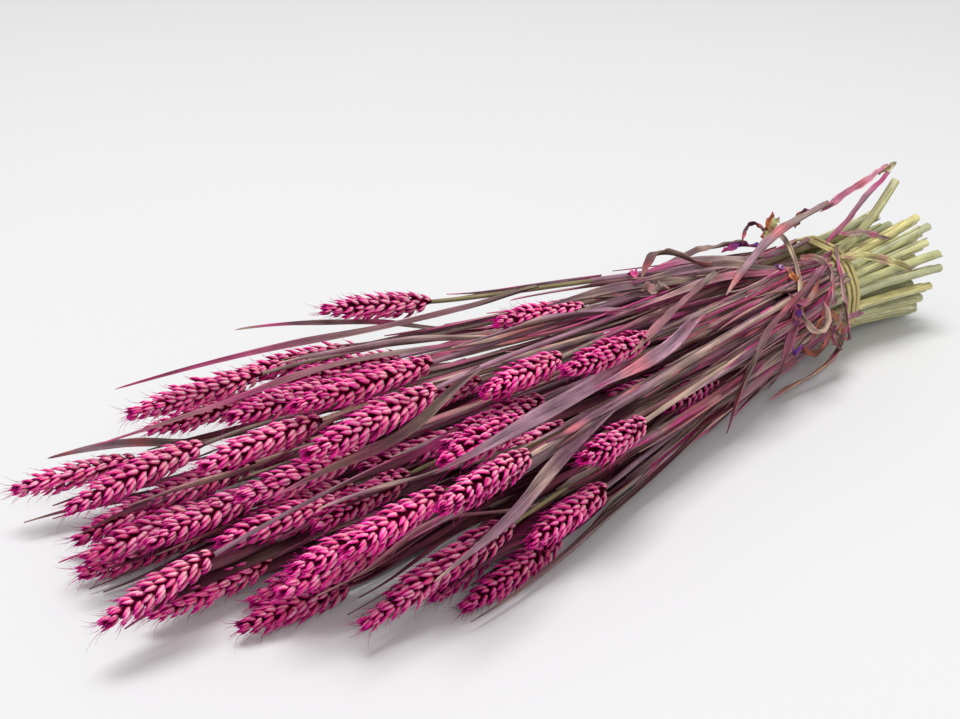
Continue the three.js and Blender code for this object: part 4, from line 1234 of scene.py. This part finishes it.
def curl_part(row, index, shapes, rng, thickness):
    """A curled dry leaf or scrap that runs through given points; short ones are more crumpled."""
    width, root, tip, turn, *points = row
    tube = shapes.blade
    t = np.linspace(0, 1, tube.rings)
    centres = smooth_path(points, tube.rings)
    crumple = min(1, CRUMPLED_LENGTH / steps_along(centres).sum())
    half = width / 2 * np.minimum(np.clip((1.02 - t) / 0.2, 0.12, 1), 0.7 + t)
    half *= 1 + crumple * (0.12 * np.sin(19 * t + index) + 0.08 * np.sin(43 * t + 2 * index))
    fold = 0.8 + crumple * (0.5 * np.sin(13 * t + index) + 0.2 * np.sin(37 * t))
    across, up = blade_offsets(tube, half, fold, thickness)
    tints = leaf_tints(1 - t, root, tip, rng)
    turns = math.radians(turn) + crumple * (rng.uniform(-2, 2) * t + 0.35 * np.sin(11 * t + 3 * index))
    return strand_part(tube, centres, across, up, blade_tints(tube, tints), turns, 97.0 * index)


# The tie

def band_line(count):
    """Points (y, z) of the line that hugs all the stalks in the tie, and the outward way at each."""
    turns = np.linspace(-math.pi / 2, 1.5 * math.pi, count)
    outward = np.column_stack([np.cos(turns), np.sin(turns)])
    middles = np.array([place_at(stalk, TIE_X) for stalk in LAYOUT.stalks])
    reach = np.array([strand_radius(stalk, TIE_X) for stalk in LAYOUT.stalks])
    reach = reach + SEAT_GAP + BAND_THICKNESS / 2
    rest = [(TIE_CENTRE[0] + side * TIE_REST_HALF_WIDTH, BAND_THICKNESS / 2) for side in (-1, 1)]
    middles = np.vstack([middles, rest])
    reach = np.concatenate([reach, [0, 0]])
    outermost = np.argmax(middles @ outward.T + reach[:, None], axis=0)
    return middles[outermost] + outward * reach[outermost][:, None], outward


def band_round(tube, number):
    """One round of the band, which wanders a little along the stalks."""
    line, outward = band_line(tube.rings)
    turns = np.linspace(0, 2 * math.pi, tube.rings)
    spread = (number + 0.5) / BAND_ROUNDS - 0.5
    middle_x = TIE_X + spread * TIE_WIDTH + 0.7 * np.sin(turns + 2.1 * number)
    across = tube.cos * BAND_HALF_WIDTH
    up = tube.sin * BAND_THICKNESS / 2
    across_line = line[tube.ring] + outward[tube.ring] * up[:, None]
    places = np.column_stack([middle_x[tube.ring] + across, across_line])
    straight = np.column_stack([length_along(line)[tube.ring], across, up])
    return part(tube.mesh, places, np.broadcast_to(colour("band"), (len(places), 4)), straight)


# Materials

def add_node(tree, kind, inputs, **properties):
    """Adds a node, sets its properties, and gives its inputs values or links."""
    node = tree.nodes.new(kind)
    for name, value in properties.items():
        setattr(node, name, value)
    for name, value in inputs.items():
        if isinstance(value, bpy.types.NodeSocket):
            tree.links.new(value, node.inputs[name])
        else:
            node.inputs[name].default_value = value
    return node


def new_material(name):
    material = bpy.data.materials.new(name)
    material.use_nodes = True
    material.node_tree.nodes.clear()
    return material, material.node_tree


def plant_material(name, fibre, stretch, blotch, streaks, roughness, relief, shine):
    """Dry plant skin: fibres along the piece, softer blotches of dye, and a dull waxy gloss.

    fibre is the spacing of the fibres, blotch the size of the blotches and relief the height of the
    fibres, all in metres. stretch is how many times longer than wide a fibre shows, streaks how much
    fibres differ in brightness, and shine the strength of the surface's reflection."""
    material, tree = new_material(name)
    tint = add_node(tree, "ShaderNodeAttribute", {}, attribute_name="tint")
    straight = add_node(tree, "ShaderNodeAttribute", {}, attribute_name="straight")
    fine = add_node(tree, "ShaderNodeMapping", {
        "Vector": straight.outputs["Vector"],
        "Scale": (1 / (fibre * stretch), 1 / fibre, 1 / fibre)})
    fibres = add_node(tree, "ShaderNodeTexNoise", {
        "Vector": fine.outputs["Vector"], "Scale": 1.0, "Detail": 2.0, "Roughness": 0.6})
    place = add_node(tree, "ShaderNodeTexCoord", {})
    blotches = add_node(tree, "ShaderNodeTexNoise", {
        "Vector": place.outputs["Object"], "Scale": 1 / blotch, "Detail": 3.0, "Roughness": 0.6})
    streak = add_node(tree, "ShaderNodeMapRange", {
        "Value": fibres.outputs["Fac"], "From Min": 0.32, "From Max": 0.68,
        "To Min": 1 - streaks, "To Max": 1 + streaks})
    patch = add_node(tree, "ShaderNodeMapRange", {
        "Value": blotches.outputs["Fac"], "From Min": 0.35, "From Max": 0.65,
        "To Min": 0.82, "To Max": 1.12})
    both = add_node(tree, "ShaderNodeMath", {
        0: streak.outputs["Result"], 1: patch.outputs["Result"]}, operation="MULTIPLY")
    dyed = add_node(tree, "ShaderNodeVectorMath", {
        0: tint.outputs["Color"], "Scale": both.outputs["Value"]}, operation="SCALE")
    gloss = add_node(tree, "ShaderNodeMapRange", {
        "Value": fibres.outputs["Fac"], "From Min": 0.3, "From Max": 0.7,
        "To Min": roughness - 0.08, "To Max": roughness + 0.1})
    bump = add_node(tree, "ShaderNodeBump", {
        "Height": fibres.outputs["Fac"], "Strength": 0.6, "Distance": relief})
    surface = add_node(tree, "ShaderNodeBsdfPrincipled", {
        "Base Color": dyed.outputs["Vector"], "Roughness": gloss.outputs["Result"],
        "Normal": bump.outputs["Normal"], "Specular IOR Level": shine})
    add_node(tree, "ShaderNodeOutputMaterial", {"Surface": surface.outputs["BSDF"]})
    return material


def husk_material():
    """Dyed wheat chaff: papery husks with fine lengthwise veins, matt with a faint silky gloss.
    Real veins are 0.3 mm apart; they are drawn at 0.5 mm so that they show."""
    return plant_material(
        "dyed_wheat_chaff", fibre=0.0005, stretch=12, blotch=0.012, streaks=0.3, roughness=0.56,
        relief=0.0002, shine=0.04)


def straw_material():
    """Dyed and plain wheat straw: long fibres, 0.6 mm apart, over a slightly waxy stem."""
    return plant_material(
        "dyed_wheat_straw", fibre=0.0006, stretch=34, blotch=0.022, streaks=0.26, roughness=0.5,
        relief=0.00015, shine=0.3)


def leaf_material():
    """Dry wheat leaf: ribbed, matt and blotched where the dye dried unevenly."""
    return plant_material(
        "dry_wheat_leaf", fibre=0.0006, stretch=40, blotch=0.016, streaks=0.42, roughness=0.62,
        relief=0.0003, shine=0.2)


def rubber_material():
    """Straw-coloured elastic band: evenly coloured, dusty on its surface, low gloss."""
    material, tree = new_material("straw_coloured_band_rubber")
    place = add_node(tree, "ShaderNodeTexCoord", {})
    dust = add_node(tree, "ShaderNodeTexNoise", {
        "Vector": place.outputs["Object"], "Scale": 1 / 0.004, "Detail": 4.0})
    ramp = add_node(tree, "ShaderNodeMix", {
        0: dust.outputs["Fac"], 6: (*colour("band")[:3] * 0.75, 1), 7: (*colour("band")[:3] * 1.1, 1)},
        data_type="RGBA")
    gloss = add_node(tree, "ShaderNodeMapRange", {
        "Value": dust.outputs["Fac"], "To Min": 0.4, "To Max": 0.7})
    bump = add_node(tree, "ShaderNodeBump", {
        "Height": dust.outputs["Fac"], "Strength": 0.3, "Distance": 0.0001})
    surface = add_node(tree, "ShaderNodeBsdfPrincipled", {
        "Base Color": ramp.outputs[2], "Roughness": gloss.outputs["Result"], "IOR": 1.52,
        "Normal": bump.outputs["Normal"]})
    add_node(tree, "ShaderNodeOutputMaterial", {"Surface": surface.outputs["BSDF"]})
    return material


def floor_material():
    """Matt white background paper."""
    material, tree = new_material("white_background_paper")
    place = add_node(tree, "ShaderNodeTexCoord", {})
    grain = add_node(tree, "ShaderNodeTexNoise", {"Vector": place.outputs["Object"], "Scale": 1 / 0.4})
    ramp = add_node(tree, "ShaderNodeMix", {
        0: grain.outputs["Fac"], 6: (*colour("floor")[:3] * 0.97, 1), 7: (*colour("floor")[:3], 1)},
        data_type="RGBA")
    surface = add_node(tree, "ShaderNodeBsdfPrincipled", {
        "Base Color": ramp.outputs[2], "Roughness": 0.9, "Specular IOR Level": 0.1})
    add_node(tree, "ShaderNodeOutputMaterial", {"Surface": surface.outputs["BSDF"]})
    return material


# Settings that a user would change

def colour_property(name):
    words = name.replace("_", " ")
    return bpy.props.FloatVectorProperty(
        name=words.capitalize(), description=f"Colour of the {words} parts", subtype="COLOR",
        size=3, min=0, max=1, default=linear(PALETTE[name])[:3])


class WheatColours(bpy.types.PropertyGroup):
    """Colours of the bundle and its floor."""
    __annotations__ = {name: colour_property(name) for name in PALETTE}


class WheatSizes(bpy.types.PropertyGroup):
    """Sizes of the finest parts."""
    spikelet_pitch: bpy.props.FloatProperty(
        name="Spikelet pitch", description="Distance along the ear from one spikelet to the next",
        default=0.0031, min=0.002, max=0.006, unit="LENGTH")
    floret_length: bpy.props.FloatProperty(
        name="Floret length", description="Length of a full floret without its awn",
        default=0.0116, min=0.006, max=0.014, unit="LENGTH")
    floret_width: bpy.props.FloatProperty(
        name="Floret width", description="Width of a full floret",
        default=0.003, min=0.002, max=0.006, unit="LENGTH")
    awn_length: bpy.props.FloatProperty(
        name="Awn length", description="Length of the bristles near the ear's tip",
        default=0.009, min=0.0, max=0.02, unit="LENGTH")
    leaf_thickness: bpy.props.FloatProperty(
        name="Leaf thickness", description="Thickness of a dry leaf",
        default=0.0005, min=0.0003, max=0.001, unit="LENGTH")


# Operators

def finish_piece(piece, slot, *nodes):
    """Lets a piece ride on the bundle and stand for its solids; its slot is not used."""
    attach(piece, "root")
    if nodes:
        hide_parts(*nodes)


class WHEAT_OT_ears(bpy.types.Operator):
    """Build every ear from florets, glumes and awns"""
    bl_idname = "wheat.ears"
    bl_label = "Build ears"

    def execute(self, context):
        shapes = SimpleNamespace(
            grain=grain_shape(), awn=awn_shape(), rachis=tube_shape(sides=5, rings=8))
        sizes = context.scene.wheat_sizes
        material = husk_material()
        for stalk in LAYOUT.stalks:
            node = f"ear_{stalk.index + 1:02d}"
            parts = ear_parts(stalk, shapes, sizes, ear_palette(stalk))
            seat_ear(parts, node)
            check_against(parts, node, EAR_SLACK)
            finish_piece(make_piece(f"{node}_florets", parts, material), "ear", node)
        return {"FINISHED"}


def ear_palette(stalk):
    """The colours of one ear, which took the dye a little more or less than its neighbours, with painted
    shade on an ear that lies low in the heap.
    """
    rng = random.Random(SEED * 3 + stalk.index)
    height = float(place_at(stalk, stalk.tip_x)[1])
    lit = min(height / LIT_HEIGHT, 1)
    # Painted shade: the lower an ear's tip, the darker the ear and the less painted highlight it gets.
    depth = rng.uniform(0.9, 1.28) * lerp(0.74, 1.0, lit)
    return SimpleNamespace(
        crease_tint=colour("husk_crease_shade") * depth, husk_tint=colour("husk") * depth,
        pale_tint=colour("husk_pale") * min(depth, 1), cream_tint=colour("husk_cream"),
        tip_tint=colour("husk_tip") * depth, awn_tint=colour("plum"), paleness=lerp(0.4, 1.1, lit))


class WHEAT_OT_stalks(bpy.types.Operator):
    """Build the stems, sheaths and long leaves of every bunch"""
    bl_idname = "wheat.stalks"
    bl_label = "Build stalks and leaves"

    def execute(self, context):
        thickness = context.scene.wheat_sizes.leaf_thickness / MM
        shapes = SimpleNamespace(
            stem=tube_shape(sides=10, rings=52), blade=tube_shape(sides=8, rings=44),
            strip=tube_shape(sides=6, rings=22))
        straw, leaf_skin = straw_material(), leaf_material()
        for number, bunch in enumerate(LAYOUT.bunches):
            node = f"stalks_{number + 1:02d}"
            rng = random.Random(SEED + 100 + number)
            stems = [stem_part(stalk, shapes, rng) for stalk in bunch]
            blades = [leaf_part(leaf, shapes, rng, thickness)
                      for leaf in LAYOUT.leaves if leaf.bunch == number]
            check_against(stems + blades, node, STALKS_SLACK)
            for _ in range(STRIPS_PER_BUNCH):
                blades.append(strip_part(rng.choice(bunch), shapes, rng, thickness))
            for stalk in bunch * LOW_LEAVES_PER_STALK:
                blades.append(low_leaf_part(stalk, shapes, rng, thickness))
            for stalk in bunch * CUT_SHEATHS_PER_STALK:
                blades.append(cut_sheath_part(stalk, shapes, rng, thickness))
            finish_piece(make_piece(f"{node}_stems", stems, straw), "stalk", node)
            finish_piece(make_piece(f"{node}_leaves", blades, leaf_skin), "stalk")
        return {"FINISHED"}


class WHEAT_OT_curls(bpy.types.Operator):
    """Build the curled leaves and scraps round the tie"""
    bl_idname = "wheat.curls"
    bl_label = "Build curled leaves"

    def execute(self, context):
        thickness = context.scene.wheat_sizes.leaf_thickness / MM
        shapes = SimpleNamespace(blade=tube_shape(sides=8, rings=44))
        rng = random.Random(SEED + 7)
        parts = [curl_part(row, i, shapes, rng, thickness) for i, row in enumerate(CURLS)]
        for one in parts:
            one.places[:, 2] = np.maximum(one.places[:, 2], LEAST_CLEAR)
        finish_piece(make_piece("curled_leaves", parts, leaf_material()), "stalk")
        return {"FINISHED"}


class WHEAT_OT_tie(bpy.types.Operator):
    """Build the tie from the rounds of its band"""
    bl_idname = "wheat.tie"
    bl_label = "Build the tie band"

    def execute(self, context):
        tube = tube_shape(sides=8, rings=73)
        parts = [band_round(tube, i) for i in range(BAND_ROUNDS)]
        finish_piece(make_piece("tie_band_rounds", parts, rubber_material()), "tie", "tie_band")
        return {"FINISHED"}


class WHEAT_OT_stage(bpy.types.Operator):
    """Add the pale floor, the soft studio light and the camera"""
    bl_idname = "wheat.stage"
    bl_label = "Set the stage"

    def execute(self, context):
        scene = context.scene
        bm = bmesh.new()
        bmesh.ops.create_grid(bm, x_segments=2, y_segments=2, size=8)
        bmesh.ops.translate(bm, vec=(0, 0, -FLOOR_DROP), verts=bm.verts)
        floor = bpy.data.objects.new("floor", new_mesh("floor", bm))
        floor.data.materials.append(floor_material())
        scene.collection.objects.link(floor)
        add_light("softbox_above", place=(-0.1, 0.3, 3.6), size=1.7, power=100)
        add_light("softbox_front", place=(-1.5, -2.7, 2.3), size=1.6, power=41)
        world = bpy.data.worlds.new("studio")
        world.use_nodes = True
        background = world.node_tree.nodes["Background"]
        background.inputs["Color"].default_value = (1, 1, 1, 1)
        background.inputs["Strength"].default_value = 0.46
        scene.world = world
        scene.view_settings.view_transform = "Standard"
        scene.camera = add_camera(scene)
        return {"FINISHED"}


def add_light(name, place, size, power):
    """A square softbox that faces the middle of the bundle."""
    light = bpy.data.lights.new(name, "AREA")
    light.size = size
    light.energy = power
    lamp = bpy.data.objects.new(name, light)
    lamp.location = place
    lamp.rotation_euler = (Vector((0, 0, 0.05)) - Vector(place)).to_track_quat("-Z", "Y").to_euler()
    bpy.context.scene.collection.objects.link(lamp)


def add_camera(scene):
    """The camera, placed so that the target shows at its pixel of the photograph's frame."""
    azimuth, elevation = math.radians(CAMERA_AZIMUTH), math.radians(CAMERA_ELEVATION)
    back = Vector((math.sin(azimuth) * math.cos(elevation),
                   -math.cos(azimuth) * math.cos(elevation), math.sin(elevation)))
    right = Vector((math.cos(azimuth), math.sin(azimuth), 0))
    up = back.cross(right)
    per_pixel = CAMERA_DISTANCE / (CAMERA_LENS / CAMERA_SENSOR * IMAGE_SIZE[0])
    target = Vector(CAMERA_TARGET) + Vector(SHIFT)
    eye = (target + back * CAMERA_DISTANCE
           - right * (TARGET_PIXEL[0] - IMAGE_SIZE[0] / 2) * per_pixel
           + up * (TARGET_PIXEL[1] - IMAGE_SIZE[1] / 2) * per_pixel)
    data = bpy.data.cameras.new("camera")
    data.lens = CAMERA_LENS
    data.sensor_width = CAMERA_SENSOR
    camera = bpy.data.objects.new("camera", data)
    camera.matrix_world = Matrix.LocRotScale(eye * MM, Matrix((right, up, back)).transposed(), None)
    scene.collection.objects.link(camera)
    return camera


class WHEAT_PT_panel(bpy.types.Panel):
    """Lists what the bundle is made of"""
    bl_label = "Dried wheat"
    bl_idname = "WHEAT_PT_panel"
    bl_space_type = "VIEW_3D"
    bl_region_type = "UI"
    bl_category = "Wheat"

    def draw(self, context):
        for operator in OPERATORS:
            self.layout.operator(operator.bl_idname)
        for group in (context.scene.wheat_sizes, context.scene.wheat_colours):
            for name in type(group).__annotations__:
                self.layout.prop(group, name)


OPERATORS = (WHEAT_OT_ears, WHEAT_OT_stalks, WHEAT_OT_curls, WHEAT_OT_tie, WHEAT_OT_stage)
CLASSES = (WheatColours, WheatSizes, *OPERATORS, WHEAT_PT_panel)


def register():
    for cls in CLASSES:
        bpy.utils.register_class(cls)
    bpy.types.Scene.wheat_colours = bpy.props.PointerProperty(type=WheatColours)
    bpy.types.Scene.wheat_sizes = bpy.props.PointerProperty(type=WheatSizes)


def unregister():
    del bpy.types.Scene.wheat_sizes
    del bpy.types.Scene.wheat_colours
    for cls in reversed(CLASSES):
        bpy.utils.unregister_class(cls)


def main():
    register()
    bpy.ops.wheat.ears()
    bpy.ops.wheat.stalks()
    bpy.ops.wheat.curls()
    bpy.ops.wheat.tie()
    bpy.ops.wheat.stage()


if __name__ == "__main__":
    main()
